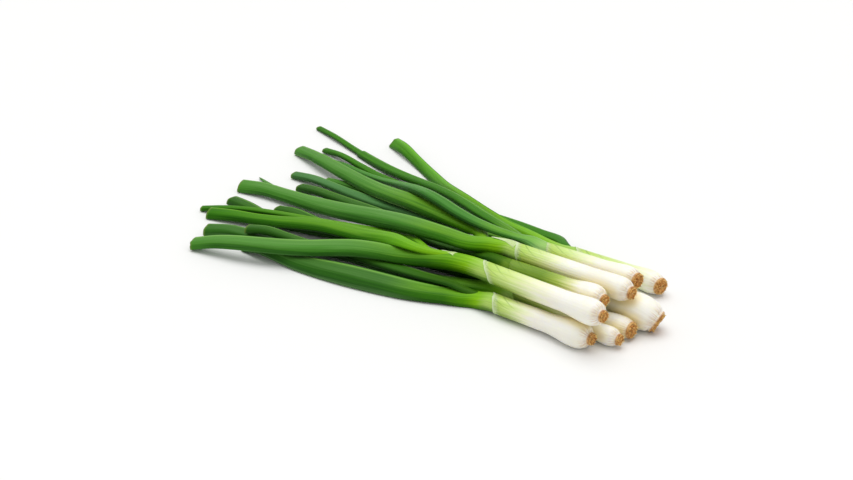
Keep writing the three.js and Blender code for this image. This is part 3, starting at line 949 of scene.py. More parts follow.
    def on_tube(self, at: np.ndarray, angle: np.ndarray, lift: np.ndarray) -> np.ndarray:
        """Points on the round of the neck, carried on along the leaf and lifted off it."""
        flat_at = at.ravel()
        _, side, up = self.path.frames(flat_at)
        radius = self.neck * 0.99 + lift.ravel()
        points = round_about(self.middle(flat_at), side, up, angle.ravel(), radius)
        return (points - self.lowered(flat_at) * self.slot_middle * up).reshape(*at.shape, 3)

    def lowered(self, at: np.ndarray) -> np.ndarray:
        """How far the tube of the neck still lies on the neck's own line, from 1 to 0."""
        return 1 - smoothstep(at, 0.0, self.sheath + self.release)[:, None]

    def fullness(self, at: np.ndarray) -> np.ndarray:
        """How full the section is along the leaf, with its step and its pointed end."""
        full = np.full_like(at, self.girth)
        from_end = self.path.length - at
        where, wider = self.step
        if where:
            risen = smoothstep(from_end, where - STEP_EDGE, where + STEP_EDGE)
            fading = 1 - smoothstep(from_end, where, where + STEP_FADE)
            full = full * (1 + (wider - 1) * risen * fading)
        if self.end is End.POINTED:
            return full * np.clip(from_end / self.point_length, 0.0004, 1.0) ** 0.5
        return full * (1 + (self.flare - 1) * (1 - smoothstep(from_end, 0.0, FLARE_REACH)))

    def make(self, finish: Material) -> None:
        """Builds the leaf, with its hollow where it is cut."""
        length = self.path.length
        angle = turns_of(self.sides)
        count = int((length + self.sunk) / self.spacing)
        at = np.linspace(-self.sunk, length, count)
        outside = np.concatenate([at[:-1], [length - 0.5 * MM, length - 0.12 * MM, length]])
        grid_at, grid_angle = np.meshgrid(outside, angle, indexing="ij")
        if self.end is End.POINTED:
            points = self.surface(grid_at, grid_angle)
            inside = np.zeros_like(grid_at)
            rim = 0.6 * smoothstep(grid_at, length - 6 * MM, length)
            self.build(points, grid_at, grid_angle, inside, rim, finish)
            return
        depths = np.array(HOLLOW_ROWS) / HOLLOW_ROWS[-1] * self.hollow
        in_at, in_angle = np.meshgrid(length - depths, angle, indexing="ij")
        outer = self.surface(self.cut_at(grid_at, grid_angle), grid_angle)
        inner_at = self.cut_at(in_at, in_angle)
        first = self.surface(inner_at[:1], in_angle[:1], self.wall * 0.45)
        inner = self.surface(inner_at, in_angle, self.wall)
        points = np.concatenate([outer, first, inner])
        all_at = np.concatenate([grid_at, in_at[:1], in_at])
        all_angle = np.concatenate([grid_angle, in_angle[:1], in_angle])
        inside = np.concatenate([np.zeros_like(grid_at), np.full_like(in_at[:1], 0.5), np.ones_like(in_at)])
        rim = smoothstep(all_at, length - 1.6 * MM, length) * (1 - 0.5 * inside)
        self.build(points, all_at, all_angle, inside, rim, finish)

    def cut_at(self, at: np.ndarray, angle: np.ndarray) -> np.ndarray:
        """The distances along the leaf, cut back towards its end."""
        length = self.path.length
        return at - self.cut_back(angle) * smoothstep(at, length - CUT_REACH, length)

    def cut_back(self, angle: np.ndarray) -> np.ndarray:
        """How much shorter the leaf is at each angle, where it is cut or torn."""
        width = 2 * float(np.linalg.eigvalsh(self.sections[-1])[-1])
        turned = angle - math.radians(self.slant_angle)
        back = self.slant * width * (1 + np.cos(turned)) / 2
        if self.end is End.TORN:
            back = back - SLIVER[0] * peak(wrapped(turned - math.pi), SLIVER[1])
            back = back + RAGGED * np.sin(5 * angle) * np.sin(3 * angle + 1)
        return back

    def build(self, points: np.ndarray, at: np.ndarray, angle: np.ndarray, inside: np.ndarray,
              rim: np.ndarray, finish: Material) -> None:
        """Makes the piece with the values that its finish reads.

        Args:
            points: Its points, in rows.
            at: Their distances along the leaf.
            angle: Their angles round it.
            inside: How far inside the hollow they are, from 0 to 1.
            rim: How near they are to the cut rim.
            finish: Its skin.
        """
        offset = np.random.default_rng(self.seed).uniform(-3, 3, 2)
        skin = np.stack([np.cos(angle) + offset[0], np.sin(angle) + offset[1], at], axis=-1)
        # Painted highlight lines along the leaf, at the angles given for it.
        highlight_line = np.zeros_like(at)
        for degrees, strength in self.highlight_lines:
            away = wrapped(angle - math.radians(degrees))
            highlight_line = np.maximum(highlight_line, strength * peak(away, HIGHLIGHT_LINE_WIDTH))
        values = {"skin": skin, "inside": inside, "rim": rim, "above": np.sin(angle),
                  "highlight_line": highlight_line * smoothstep(at, 10 * MM, 60 * MM),
                  "bare": 1 - smoothstep(self.path.length - at, 1 * MM, 24 * MM),
                  "young": 1 - np.clip(at / self.reach, 0, 1)}
        place(Sheet(f"{self.name}_skin", points, values).build(), finish, [self.name])


# ---------------------------------------------------------------- shafts

@dataclass
class Shaft:
    """A shaft with its bulb, from the rim of its neck to its roots.

    Attributes:
        letter: The onion's letter.
        green_reach: How far the green comes down from the neck, in metres.
        green_hold: How far of that it stays full.
        pleats: The number of pleats round the roots.
        pleat_depth: Their depth.
        seed: Fixes its unevenness.
        lean: How far the rim of its neck leans over to one side.
        lean_angle: Which side that is, in degrees.
        sides: The points round it.
        rows: The rings of points along its outside.
        wall: How thick its rim is.
        mouth: How deep its open neck is.
        overlap: How far its rim comes past the neck.
        wrap: How far its skin reaches past the root end.
        fold_angle: Where the curved folds below its neck start, in degrees.
        ridges: The number of fine ridges round it.
        ridge_height: Their height.
        thinned: How much thinner its skin is at the very rim.
    """

    letter: str
    green_reach: float
    green_hold: float = 0.0
    pleats: int = 34
    pleat_depth: float = 0.16 * MM
    seed: int = 1
    lean: float = 4.2 * MM
    lean_angle: float = -4.0
    sides: int = 112
    rows: int = 110
    wall: float = 0.4 * MM
    mouth: float = 4 * MM
    overlap: float = 1.2 * MM
    wrap: float = 2.2 * MM
    fold_angle: float = 5.0
    ridges: int = 23
    ridge_height: float = 0.035 * MM
    thinned: float = 0.24 * MM

    def read(self) -> None:
        """Reads the shaft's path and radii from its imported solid."""
        rings = rings_of(f"onion_{self.letter}_shaft", SHAFT_CAD_SIDES, from_roots=False)
        self.path = Path(rings)
        away = np.linalg.norm(rings - self.path.middles[:, None], axis=-1)
        self.radii = away.mean(axis=1)
        self.neck = float(self.radii[0])
        plate = rings_of(f"onion_{self.letter}_root_plate", SHAFT_CAD_SIDES, from_roots=False)
        self.plate_middle = plate[0].mean(axis=0)
        self.plate_radius = float(np.linalg.norm(plate[0] - self.plate_middle, axis=-1).mean())
        self.plate_thickness = float(np.linalg.norm(plate[-1].mean(axis=0) - self.plate_middle))

    def radius(self, at: np.ndarray, angle: np.ndarray) -> np.ndarray:
        """The shaft's radius at some distances from its neck and angles round it."""
        length = self.path.length
        plain = smooth_between(self.path.at, self.radii, np.clip(at, 0, length))
        from_root = length - at
        uneven = 0.014 * waves(angle, at, self.seed, 26 * MM)
        folds = np.abs(np.sin(self.pleats * angle / 2 + 0.8 * np.sin(2 * angle + self.seed)
                              + 0.5 * np.sin(5 * angle)))
        deep = self.pleat_depth * (1 - smoothstep(from_root, 0.5 * MM, 9 * MM))
        ridge = self.ridge_height * np.sin(self.ridges * angle + 2 * np.sin(3 * angle + self.seed))
        full = plain * (1 + uneven * smoothstep(from_root, 0, 6 * MM)) - deep * (1 - folds) + ridge
        lip = self.plate_radius * (1.08 - 0.07 * smoothstep(-from_root, 0.6 * self.wrap, self.wrap))
        return np.maximum(full, lip - 0.6 * deep * (1 - folds))

    def surface(self, at: np.ndarray, angle: np.ndarray, lift: float = 0.0) -> np.ndarray:
        """Points of the shaft's outside, or lifted off it."""
        flat_at = at.ravel()
        flat_angle = angle.ravel()
        _, side, up = self.path.frames(flat_at)
        radius = self.radius(flat_at, flat_angle) + lift
        points = round_about(self.path.middle(flat_at), side, up, flat_angle, radius)
        points[:, 2] = np.maximum(points[:, 2], FLOOR_CLEARANCE)
        return points.reshape(*at.shape, 3)

    def rim_at(self, angle: np.ndarray) -> np.ndarray:
        """Where the shaft's skin ends at the neck: uneven, a little past the neck."""
        leaning = self.lean * np.cos(angle - math.radians(self.lean_angle))
        uneven = waves(angle, np.zeros_like(angle), self.seed + 9, 1.0, 3)
        return leaning - self.overlap * (0.6 + 0.3 * uneven)

    def folds(self, at: np.ndarray, angle: np.ndarray) -> np.ndarray:
        """The course and the strength of the curved folds below the neck, as vectors."""
        turned = wrapped(angle - math.radians(self.fold_angle))
        course = np.log(np.clip(turned, 0.04, None)) + at / (13 * MM)
        around = smoothstep(turned, 0.05, 0.25) * (1 - smoothstep(turned, 1.6, 2.2))
        strength = around * (1 - smoothstep(at, 4 * MM, 26 * MM))
        return np.stack([course, strength, np.zeros_like(at)], axis=-1)

    def nearness(self, points: np.ndarray, others: Sequence["Shaft"]) -> np.ndarray:
        """How near the other shafts lie to some points, from 0 to 1, for the painted shade between them.

        Args:
            points: Points of this shaft, in rows and columns.
            others: All the shafts of the bunch.

        Returns:
            A value for each point.
        """
        near = np.zeros(points.shape[:2])
        for other in others:
            if other is not self:
                at = np.linspace(0, other.path.length, 40)
                away = np.linalg.norm(points[:, :, None] - other.path.middle(at), axis=-1)
                gap = (away - np.interp(at, other.path.at, other.radii)).min(axis=-1)
                near = np.maximum(near, 1 - smoothstep(gap, 0.5 * MM, 7 * MM))
        return near

    def make(self, finish: Material, others: Sequence["Shaft"]) -> None:
        """Builds the shaft as one closed skin, with a shallow mouth at its neck.

        Args:
            finish: Its skin.
            others: All the shafts of the bunch.
        """
        length = self.path.length + self.wrap
        angle = turns_of(self.sides)
        part = np.linspace(0, 1, self.rows)
        outside = 1 - (1 - part) ** 1.5
        rim = self.rim_at(angle)[None]
        at = rim * (1 - outside[:, None]) ** 6 + outside[:, None] * length
        grid_angle = np.broadcast_to(angle, at.shape)
        thinned = self.thinned * (1 - smoothstep(at - rim, 0.0, 2.2 * MM))
        outer = self.surface(at, grid_angle, -thinned.ravel())
        closing = self.surface(at[-1:], grid_angle[-1:], -0.25 * self.plate_radius)
        depth = np.array([1.0, 0.4, 0.0])[:, None]
        in_at = rim + depth * self.mouth
        in_angle = np.broadcast_to(angle, in_at.shape)
        inner = self.surface(in_at, in_angle, -self.wall)
        points = np.concatenate([inner, outer, closing])
        all_at = np.concatenate([in_at, at, at[-1:]])
        all_angle = np.concatenate([in_angle, grid_angle, grid_angle[-1:]])
        from_root = self.path.length - all_at
        values = {
            "skin": np.stack([np.cos(all_angle) + self.seed, np.sin(all_angle), all_at], axis=-1),
            "green": 1 - np.clip((all_at - self.green_hold) / (self.green_reach - self.green_hold), 0, 1),
            "root": 1 - smoothstep(from_root, -self.wrap, 8 * MM),
            "rim": 1 - smoothstep(all_at - self.rim_at(all_angle), 0.0, 5 * MM),
            "fold": self.folds(all_at, all_angle),
            "above": np.sin(all_angle),
            "near": self.nearness(points, others),
        }
        piece = Sheet(f"onion_{self.letter}_skin", points, values).build()
        place(piece, finish, [f"onion_{self.letter}_shaft"])


def thin_shell(name: str, at: np.ndarray, angle: np.ndarray, outer: np.ndarray, inner: np.ndarray,
               rim: np.ndarray, looped: bool = False) -> Piece:
    """Builds a thin closed piece of skin from its two sides.

    Args:
        name: The piece's name.
        at: Distances along it, in rows.
        angle: Angles round it.
        outer: The points of its outside.
        inner: The points of its inside.
        rim: How near each point is to its free edge.
        looped: Whether it goes all the way round, so that its last row meets its first.

    Returns:
        The piece, with a row that runs round both sides.
    """
    def both(values: np.ndarray) -> np.ndarray:
        """The outside's columns and then the inside's, backwards."""
        return np.concatenate([values, values[:, ::-1]], axis=1)

    skin = np.stack([np.cos(angle), np.sin(angle), at], axis=-1)
    points = np.concatenate([outer, inner[:, ::-1]], axis=1)
    capped = (not looped, not looped)
    return Sheet(name, points, {"skin": both(skin), "rim": both(rim)}, capped, looped=looped).build()


@dataclass
class Collar:
    """The thin skin that ends round a neck, with an uneven edge.

    Attributes:
        shaft: The shaft that it sits on.
        below: How far down the shaft it starts, at most.
        above: How far it goes up past the shaft's rim.
        sides: The points round it.
        rows: The points along it.
        thickness: How thick it is.
    """

    shaft: Shaft
    below: float
    above: float = 0.3 * MM
    sides: int = 96
    rows: int = 9
    thickness: float = 0.04 * MM

    def make(self, finish: Material) -> None:
        """Builds the collar as a thin closed band."""
        angle = turns_of(self.sides)
        seed = self.shaft.seed + 20
        rim_at = self.shaft.rim_at(angle)
        top = rim_at - self.above - 0.2 * MM * waves(angle, np.zeros_like(angle), seed, 1.0, 9)
        bottom = rim_at + self.below + 0.5 * MM * waves(angle, np.zeros_like(angle), seed + 1, 1.0, 4)
        part = np.linspace(0, 1, self.rows)[:, None]
        at = (bottom[None] * (1 - part) + top[None] * part).T
        grid_angle = np.broadcast_to(angle[:, None], at.shape)
        wrinkle = 0.02 * MM * waves(grid_angle, at, seed + 2, 5 * MM, 14)
        lift = 0.03 * MM + 0.03 * MM * smoothstep(part.T, 0.0, 0.5) + wrinkle * part.T
        outer = self.shaft.surface(at, grid_angle, lift.ravel())
        inner = self.shaft.surface(at, grid_angle, lift.ravel() - self.thickness)
        rim = np.broadcast_to(smoothstep(part.T, 0.15, 0.6), at.shape)
        name = f"onion_{self.shaft.letter}_collar"
        place(thin_shell(name, at, grid_angle, outer, inner, rim, looped=True), finish)


@dataclass
class Flap:
    """The thin pale tongue at the end of the outer leaf's tube, where the inner leaves come out.

    Attributes:
        leaf: The outer leaf.
        letter: The onion's letter.
        start: Where it leaves the tube, as a distance from the neck.
        tip: Where it ends.
        angle: Where it lies round the tube, in degrees.
        spread: Half its width where it starts, in degrees.
        columns: The points across it.
        rows: The points along it.
        thickness: How thick it is.
    """

    leaf: Leaf
    letter: str
    start: float
    tip: float
    angle: float
    spread: float
    columns: int = 25
    rows: int = 26
    thickness: float = 0.1 * MM

    def make(self, finish: Material) -> None:
        """Builds the flap as a thin closed piece of skin."""
        part = np.linspace(0, 1, self.rows)[:, None]
        across = np.linspace(-1, 1, self.columns)[None]
        half = math.radians(self.spread) * (1 - part) ** 0.85 + 0.02
        angle = math.radians(self.angle) + half * across
        at = self.start + (self.tip - self.start) * part + 0 * across
        curl = 0.25 * MM * part * across ** 2
        lift = 0.1 * MM * smoothstep(part, 0.0, 0.2) + curl + 0.04 * MM * waves(angle, at, 31, 6 * MM, 9)
        outer = self.leaf.on_tube(at, angle, lift)
        inner = self.leaf.on_tube(at, angle, lift - self.thickness)
        rim = np.broadcast_to(smoothstep(part, 0.4, 1.0), at.shape)
        place(thin_shell(f"onion_{self.letter}_flap", at, angle, outer, inner, rim), finish)


# ---------------------------------------------------------------- root plates

def roots_tree() -> bpy.types.GeometryNodeTree:
    """Rough stubs of cut roots over a plate's face, and dry fibres round its rim.

    Returns:
        A tree with the inputs Geometry, Radius, Stub Length, Stub Radius, Fibre Length, Density
        (stubs on a square metre), Fibres (their number), Seed and Finish.
    """
    tree = bpy.data.node_groups.new("cut_roots", "GeometryNodeTree")
    tree.interface.new_socket("Geometry", in_out="INPUT", socket_type="NodeSocketGeometry")
    numbers = {"Radius": 4 * MM, "Stub Length": 0.9 * MM, "Stub Radius": 0.32 * MM,
               "Fibre Length": 1.3 * MM, "Density": 900000.0, "Fibres": 64, "Seed": 1}
    for name, value in numbers.items():
        kind = "NodeSocketInt" if isinstance(value, int) else "NodeSocketFloat"
        tree.interface.new_socket(name, in_out="INPUT", socket_type=kind).default_value = value
    tree.interface.new_socket("Finish", in_out="INPUT", socket_type="NodeSocketMaterial")
    tree.interface.new_socket("Geometry", in_out="OUTPUT", socket_type="NodeSocketGeometry")
    graph = Graph(tree)
    given = graph.add("NodeGroupInput").outputs
    stubs = stub_instances(graph, given)
    fibres = fibre_instances(graph, given)
    joined = graph.add("GeometryNodeJoinGeometry")
    for part in (fibres, stubs, given["Geometry"]):
        graph.tree.links.new(part, joined.inputs[0])
    real = graph.add("GeometryNodeRealizeInstances", {"Geometry": joined.outputs[0]})
    inputs = {"Geometry": real.outputs[0], "Material": given["Finish"]}
    dressed = graph.add("GeometryNodeSetMaterial", inputs)
    graph.add("NodeGroupOutput", {0: dressed.outputs[0]})
    return tree


def random_in(graph: Graph, low: tuple, high: tuple, seed: Socket) -> Socket:
    """A random vector for each instance."""
    inputs = {0: low, 1: high, "Seed": seed}
    return graph.add("FunctionNodeRandomValue", inputs, data_type="FLOAT_VECTOR").outputs[0]


def stub_instances(graph: Graph, given: bpy.types.bpy_prop_collection) -> Socket:
    """Short blunt stubs over the upward face of the plate."""
    normal = graph.add("GeometryNodeInputNormal").outputs[0]
    level = graph.add("ShaderNodeSeparateXYZ", {0: normal}).outputs["Z"]
    upward = graph.add("FunctionNodeCompare", {0: level, 1: 0.75}, data_type="FLOAT",
                       operation="GREATER_THAN")
    points = graph.add("GeometryNodeDistributePointsOnFaces", {
        "Mesh": given["Geometry"], "Selection": upward.outputs[0], "Density": given["Density"],
        "Seed": given["Seed"]})
    stub = graph.add("GeometryNodeMeshCone", {
        "Vertices": 7, "Radius Top": given["Stub Radius"], "Radius Bottom": given["Stub Radius"],
        "Depth": given["Stub Length"]})
    lean = random_in(graph, (-0.5, -0.5, 0.0), (0.5, 0.5, 6.28), given["Seed"])
    size = random_in(graph, (0.5, 0.5, 0.3), (1.25, 1.25, 1.2), given["Seed"])
    placed = graph.add("GeometryNodeInstanceOnPoints", {
        "Points": points.outputs["Points"], "Instance": stub.outputs["Mesh"],
        "Rotation": lean, "Scale": size})
    return placed.outputs[0]


def fibre_instances(graph: Graph, given: bpy.types.bpy_prop_collection) -> Socket:
    """Thin dry fibres round the rim of the plate."""
    rim = graph.add("GeometryNodeMeshCircle", {"Vertices": given["Fibres"], "Radius": given["Radius"]})
    spot = graph.add("GeometryNodeInputPosition").outputs[0]
    outward = graph.add("FunctionNodeAlignRotationToVector", {"Vector": spot}, axis="X")
    lean = random_in(graph, (-0.3, 0.1, -0.4), (0.3, 0.9, 0.4), given["Seed"])
    turned = graph.add("FunctionNodeRotateRotation", {"Rotation": outward.outputs[0], "Rotate By": lean},
                       rotation_space="LOCAL")
    fibre = graph.add("GeometryNodeMeshCone", {
        "Vertices": 5, "Radius Top": 0.03 * MM, "Radius Bottom": 0.22 * MM, "Depth": given["Fibre Length"]})
    size = random_in(graph, (0.5, 0.5, 0.4), (1.3, 1.3, 1.2), given["Seed"])
    placed = graph.add("GeometryNodeInstanceOnPoints", {
        "Points": rim.outputs["Mesh"], "Instance": fibre.outputs["Mesh"],
        "Rotation": turned.outputs[0], "Scale": size})
    return placed.outputs[0]


@dataclass
class RootPlate:
    """The cut disc at the root end, with its ridges, stubs and fibres.

    Attributes:
        shaft: The shaft that it ends.
        seed: Fixes its unevenness.
        sides: The points round it.
        width: How wide the disc is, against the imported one.
        rim: How far out its fibres stand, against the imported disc.
        fibres: How many fibres it has for each millimetre of its radius.
    """

    shaft: Shaft
    seed: int
    sides: int = 72
    width: float = 0.88
    rim: float = 0.82
    fibres: int = 13

    def face(self) -> Sheet:
        """The disc itself, closed all round, with its outer face near z = 0 in its own frame."""
        radius = self.shaft.plate_radius * self.width
        thick = self.shaft.plate_thickness
        angle = turns_of(self.sides)
        outline = 1 + 0.045 * waves(angle, np.zeros_like(angle), self.seed, 1.0, 7)
        steps = np.array([1.0, 1.01, 1.0, 0.94, 0.86, 0.76, 0.66, 0.56, 0.46, 0.36, 0.26, 0.16, 0.07])
        heights = np.array([-1.0, -0.5, -0.16, 0.0, 0.02, -0.04, -0.08,
                            -0.05, -0.04, -0.08, -0.14, -0.2, -0.24])
        grid_angle = np.broadcast_to(angle, (len(steps), self.sides))
        spread = steps[:, None] * (1 + (outline - 1)[None] * steps[:, None])
        rough = 0.12 * MM * waves(grid_angle, steps[:, None] * radius, self.seed + 3, 1.4 * MM, 11)
        height = heights[:, None] * thick + rough * (heights > -0.9)[:, None]
        points = np.stack([radius * spread * np.cos(grid_angle), radius * spread * np.sin(grid_angle),
                           np.minimum(height, 0.15 * MM)], axis=-1)
        ring = np.broadcast_to(steps[:, None], grid_angle.shape)
        return Sheet(f"onion_{self.shaft.letter}_roots", points[:, ::-1], {"ring": ring[:, ::-1]})

    def make(self, tree: bpy.types.GeometryNodeTree, finish: Material) -> None:
        """Builds the plate, adds its stubs and fibres and lays it on the end of the bulb.

        Args:
            tree: The node tree of the stubs and the fibres.
            finish: The plate's material.
        """
        plain = self.face().build()
        dresser = plain.modifiers.new("roots", "NODES")
        dresser.node_group = tree
        chosen = {
            "Radius": self.shaft.plate_radius * self.rim, "Seed": self.seed, "Finish": finish,
            "Fibres": int(self.shaft.plate_radius / MM * self.fibres),
        }
        for item in tree.interface.items_tree:
            if item.in_out == "INPUT" and item.name in chosen:
                dresser[item.identifier] = chosen[item.name]
        ready = bpy.context.evaluated_depsgraph_get()
        made = bpy.data.meshes.new_from_object(plain.evaluated_get(ready))
        plain.modifiers.clear()
        plain.data = made
        length = np.array([self.shaft.path.length])
        ahead, side, up = (Vector(rows[0]) for rows in self.shaft.path.frames(length))
        outer = Vector(self.shaft.plate_middle) + ahead * self.shaft.plate_thickness
        turn = Matrix((side, -up, ahead)).transposed().to_4x4()
        plain.data.transform(Matrix.Translation(outer) @ turn)
        for vert in plain.data.vertices:
            vert.co.z = max(vert.co.z, FLOOR_CLEARANCE)
        place(plain, finish, [f"onion_{self.shaft.letter}_root_plate"])


# ---------------------------------------------------------------- onions

@dataclass
class Onion:
    """One onion, with all its pieces.

    Attributes:
        shaft: Its shaft and bulb.
        leaves: Its leaves, the outer one first.
        flap: Where the flap of its outer leaf starts and ends, if it has one.
        flap_angle: Where the flap lies round the tube, in degrees.
        flap_spread: Half its width where it starts, in degrees.
        band: How far its collar comes down from the neck.
        in_shade: Whether it lies deep in the bunch, where its shaft takes a darker copy of the skin,
            painted shade.
    """

    shaft: Shaft
    leaves: list[Leaf]
    flap: tuple[float, float] | None = None
    flap_angle: float = 70.0
    flap_spread: float = 44.0
    band: float = 1.7 * MM
    in_shade: bool = False

    def make(self, finishes: "Finishes", shafts: Sequence[Shaft]) -> None:
        """Builds and dresses every piece of the onion.

        Args:
            finishes: The materials of the bunch.
            shafts: All the shafts of the bunch.
        """
        # Onions deep in the bunch take the darker copy of the shaft skin: painted shade.
        self.shaft.make(finishes.shaded_shaft if self.in_shade else finishes.shaft, shafts)
        RootPlate(self.shaft, seed=self.shaft.seed + 5).make(finishes.roots_tree, finishes.root)
        if self.band:
            Collar(self.shaft, self.band).make(finishes.collar)
        for leaf in self.leaves:
            leaf.read(self.shaft, self.leaves[0])
            leaf.make(finishes.leaves[leaf.skin])
        if self.flap:
            start, tip = self.flap
            flap = Flap(self.leaves[0], self.shaft.letter, start, tip, self.flap_angle, self.flap_spread)
            flap.make(finishes.collar)


@dataclass
class Finishes:
    """Every material of the bunch, made once."""

    groups: Groups = field(default_factory=Groups)

    def __post_init__(self) -> None:
        """Makes the materials."""
        self.shaft = ShaftFinish().make(self.groups)
        # A darker, greener copy of the shaft skin: painted shade for the shafts deep in the bunch.
        self.shaded_shaft = ShaftFinish(
            "shaded_shaft_skin", cream=colour(226, 228, 168), pale=colour(170, 192, 78),
            green=colour(116, 152, 28), vein=colour(92, 132, 14), fold=colour(86, 124, 18),
            lip=colour(120, 156, 40)).make(self.groups)
        self.collar = CollarFinish().make(self.groups)
        self.root = RootFinish().make(self.groups)
        self.leaves = {skin: skin.value.make(self.groups) for skin in Skin}
        self.roots_tree = roots_tree()


def onions() -> list[Onion]:
    """The nine onions of the bunch.

    Returns:
        The onions, from the front of the bunch.
    """
    roof = ((90.0, 0.85), (168.0, 0.87), (262.0, 0.88), (345.0, 0.9))
    soft = ((85.0, 0.97), (165.0, 0.97), (265.0, 0.93))
    flat = ((150.0, 0.78), (72.0, 0.84), (250.0, 0.9), (330.0, 0.85))
    return [
        Onion(Shaft("a", 34 * MM, seed=11), [
            Leaf("onion_a_leaf_1", Skin.DUSKY, reach=80 * MM, sheath=6 * MM, release=36 * MM,
                 facets=roof, sag=(1.8 * MM, 12 * MM), seed=101),
            Leaf("onion_a_leaf_2", Skin.SHADED, reach=70 * MM, inner=6 * MM, seed=102)]),
        Onion(Shaft("b", 60 * MM, lean=6.5 * MM, lean_angle=-26.0, seed=12), [
            Leaf("onion_b_leaf_1", Skin.BLUISH, End.TORN, reach=110 * MM, sheath=28 * MM, release=44 * MM,
                 facets=roof, sag=(0.8 * MM, 34 * MM), flare=0.94, seed=103),
            Leaf("onion_b_leaf_2", Skin.YOUNG, reach=230 * MM, inner=28 * MM, loosening=52 * MM,
                 facets=soft, seed=104),
            Leaf("onion_b_leaf_3", Skin.YOUNG, reach=230 * MM, inner=28 * MM, loosening=46 * MM, seed=105)],
            flap=(26 * MM, 36 * MM)),
        Onion(Shaft("c", 62 * MM, green_hold=28 * MM, seed=13), [
            Leaf("onion_c_leaf_1", Skin.SHADED, reach=40 * MM, sheath=4 * MM, girth=1.2, seed=106),
            Leaf("onion_c_leaf_2", Skin.SHADED, reach=40 * MM, girth=1.1, seed=107)],
            band=0.0, in_shade=True),
        Onion(Shaft("d", 60 * MM, seed=14), [
            Leaf("onion_d_leaf_1", Skin.DUSKY, reach=60 * MM, sheath=4 * MM, girth=1.15, seed=108)],
            band=0.0, in_shade=True),
        Onion(Shaft("e", 60 * MM, seed=15), [
            Leaf("onion_e_leaf_1", Skin.SHADED, reach=60 * MM, sheath=4 * MM, girth=1.2, seed=109)],
            band=0.0, in_shade=True),
        Onion(Shaft("f", 60 * MM, pleats=46, pleat_depth=0.34 * MM, seed=16), [
            Leaf("onion_f_leaf_1", Skin.BLUISH, End.POINTED, reach=80 * MM, sheath=4 * MM, seed=110),
            Leaf("onion_f_leaf_2", Skin.TEAL, reach=80 * MM, seed=111)]),
        Onion(Shaft("g", 44 * MM, seed=17), [
            Leaf("onion_g_leaf_1", Skin.BLUISH, reach=105 * MM, sheath=6 * MM, release=36 * MM,
                 facets=soft, sag=(1.5 * MM, 18 * MM), seed=112),
            Leaf("onion_g_leaf_2", Skin.BLUISH, reach=190 * MM, inner=10 * MM, loosening=40 * MM,
                 step=(28 * MM, 1.1), highlight_lines=((66.0, 0.5), (208.0, 1.0)), seed=113)],
            flap=(0.0, 19 * MM), flap_angle=80.0, flap_spread=50.0),
        Onion(Shaft("h", 44 * MM, seed=18), [
            Leaf("onion_h_leaf_1", Skin.SILVERY, End.POINTED, reach=70 * MM, sheath=4 * MM, seed=114),
            Leaf("onion_h_leaf_2", Skin.BLUISH, reach=80 * MM, seed=115),
            Leaf("onion_h_leaf_3", Skin.MIDDLE, reach=70 * MM, step=(59 * MM, 1.4),
                 highlight_lines=((64.0, 0.8),), seed=116)], band=0.0),
        Onion(Shaft("i", 64 * MM, seed=19), [
            Leaf("onion_i_leaf_2", Skin.LIME, reach=180 * MM, slant=0.4, facets=flat,
                 highlight_lines=((70.0, 0.9),), sag=(2.0 * MM, 16 * MM), seed=118),
            Leaf("onion_i_leaf_1", Skin.MIDDLE, reach=12 * MM, beside=(0.6 * MM, 4.6 * MM), seed=117)]),
    ]


# ---------------------------------------------------------------- studio

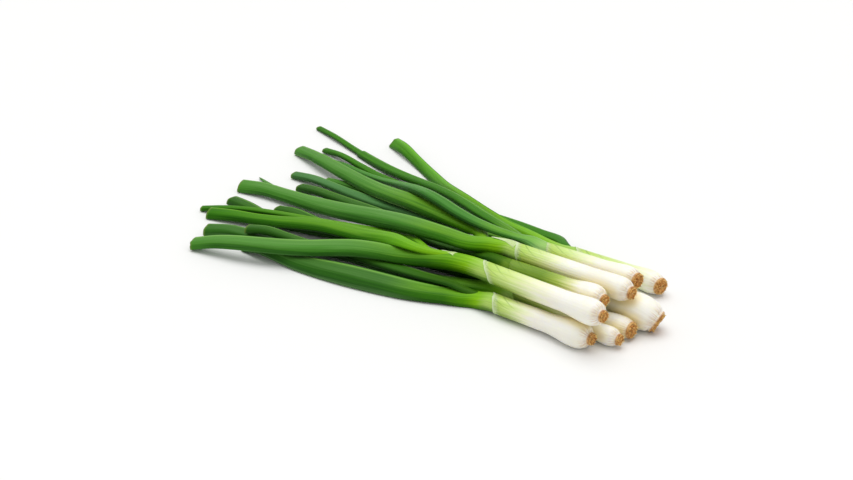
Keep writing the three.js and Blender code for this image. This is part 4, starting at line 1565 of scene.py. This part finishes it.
@dataclass
class Studio:
    """The floor, the lights and the camera.

    Attributes:
        azimuth: Where the camera stands round the bunch, in degrees.
        elevation: How high it stands, in degrees.
        distance: How far away it is.
        aim: The point that it looks at.
        lens: Its focal length in millimetres.
        world: How bright it is all round.
        sun: How bright the light from above is.
        sun_angle: How wide that light is, in degrees, which makes its shadows soft.
        sun_from: Where it comes from.
        floor_half: Half the floor's width.
    """

    azimuth: float = 39.5
    elevation: float = 26.5
    distance: float = 1.04
    aim: tuple[float, float, float] = (0.0219, -0.02715, 0.0183)
    lens: float = 70.0
    world: float = 0.62
    sun: float = 1.8
    sun_angle: float = 60.0
    sun_from: tuple[float, float, float] = (-0.1, 0.12, 0.98)
    floor_half: float = 12.0

    def make(self) -> None:
        """Sets up everything round the bunch."""
        self.floor()
        self.light()
        self.camera()

    def floor(self) -> None:
        """Lays the plain surface just under the bunch."""
        mesh = bpy.data.meshes.new("floor")
        corners = [(-1, -1), (1, -1), (1, 1), (-1, 1)]
        points = [(x * self.floor_half, y * self.floor_half, -0.1 * MM) for x, y in corners]
        mesh.from_pydata(points, [], [(0, 1, 2, 3)])
        mesh.materials.append(FloorFinish().make())
        floor = linked("floor", mesh)

    def light(self) -> None:
        """Lights the bunch softly from above and a little from behind."""
        world = bpy.data.worlds.new("studio")
        world.use_nodes = True
        background = world.node_tree.nodes["Background"].inputs
        background["Color"].default_value = (1.0, 1.0, 1.0, 1.0)
        background["Strength"].default_value = self.world
        bpy.context.scene.world = world
        data = bpy.data.lights.new("overhead", "SUN")
        data.angle = math.radians(self.sun_angle)
        data.energy = self.sun
        lamp = linked("overhead", data)
        lamp.rotation_euler = (-Vector(self.sun_from)).to_track_quat("-Z", "Y").to_euler()

    def camera(self) -> None:
        """Stands the camera up."""
        data = bpy.data.cameras.new("camera")
        data.lens = self.lens
        data.sensor_width = 36.0
        turn = math.radians(self.azimuth)
        rise = math.radians(self.elevation)
        back = Vector((math.sin(turn) * math.cos(rise), -math.cos(turn) * math.cos(rise), math.sin(rise)))
        camera = linked("camera", data)
        camera.location = Vector(self.aim) + back * self.distance
        camera.rotation_euler = (-back).to_track_quat("-Z", "Y").to_euler()
        bpy.context.scene.camera = camera
        bpy.context.scene.view_settings.view_transform = "Standard"


def main() -> None:
    """Builds the bunch and the studio."""
    logging.basicConfig(level=logging.INFO, format="%(name)s: %(message)s")
    finishes = Finishes()
    bunch = onions()
    shafts = [onion.shaft for onion in bunch]
    for shaft in shafts:
        shaft.read()
    for onion in bunch:
        onion.make(finishes, shafts)
    Studio().make()


if __name__ == "__main__":
    main()
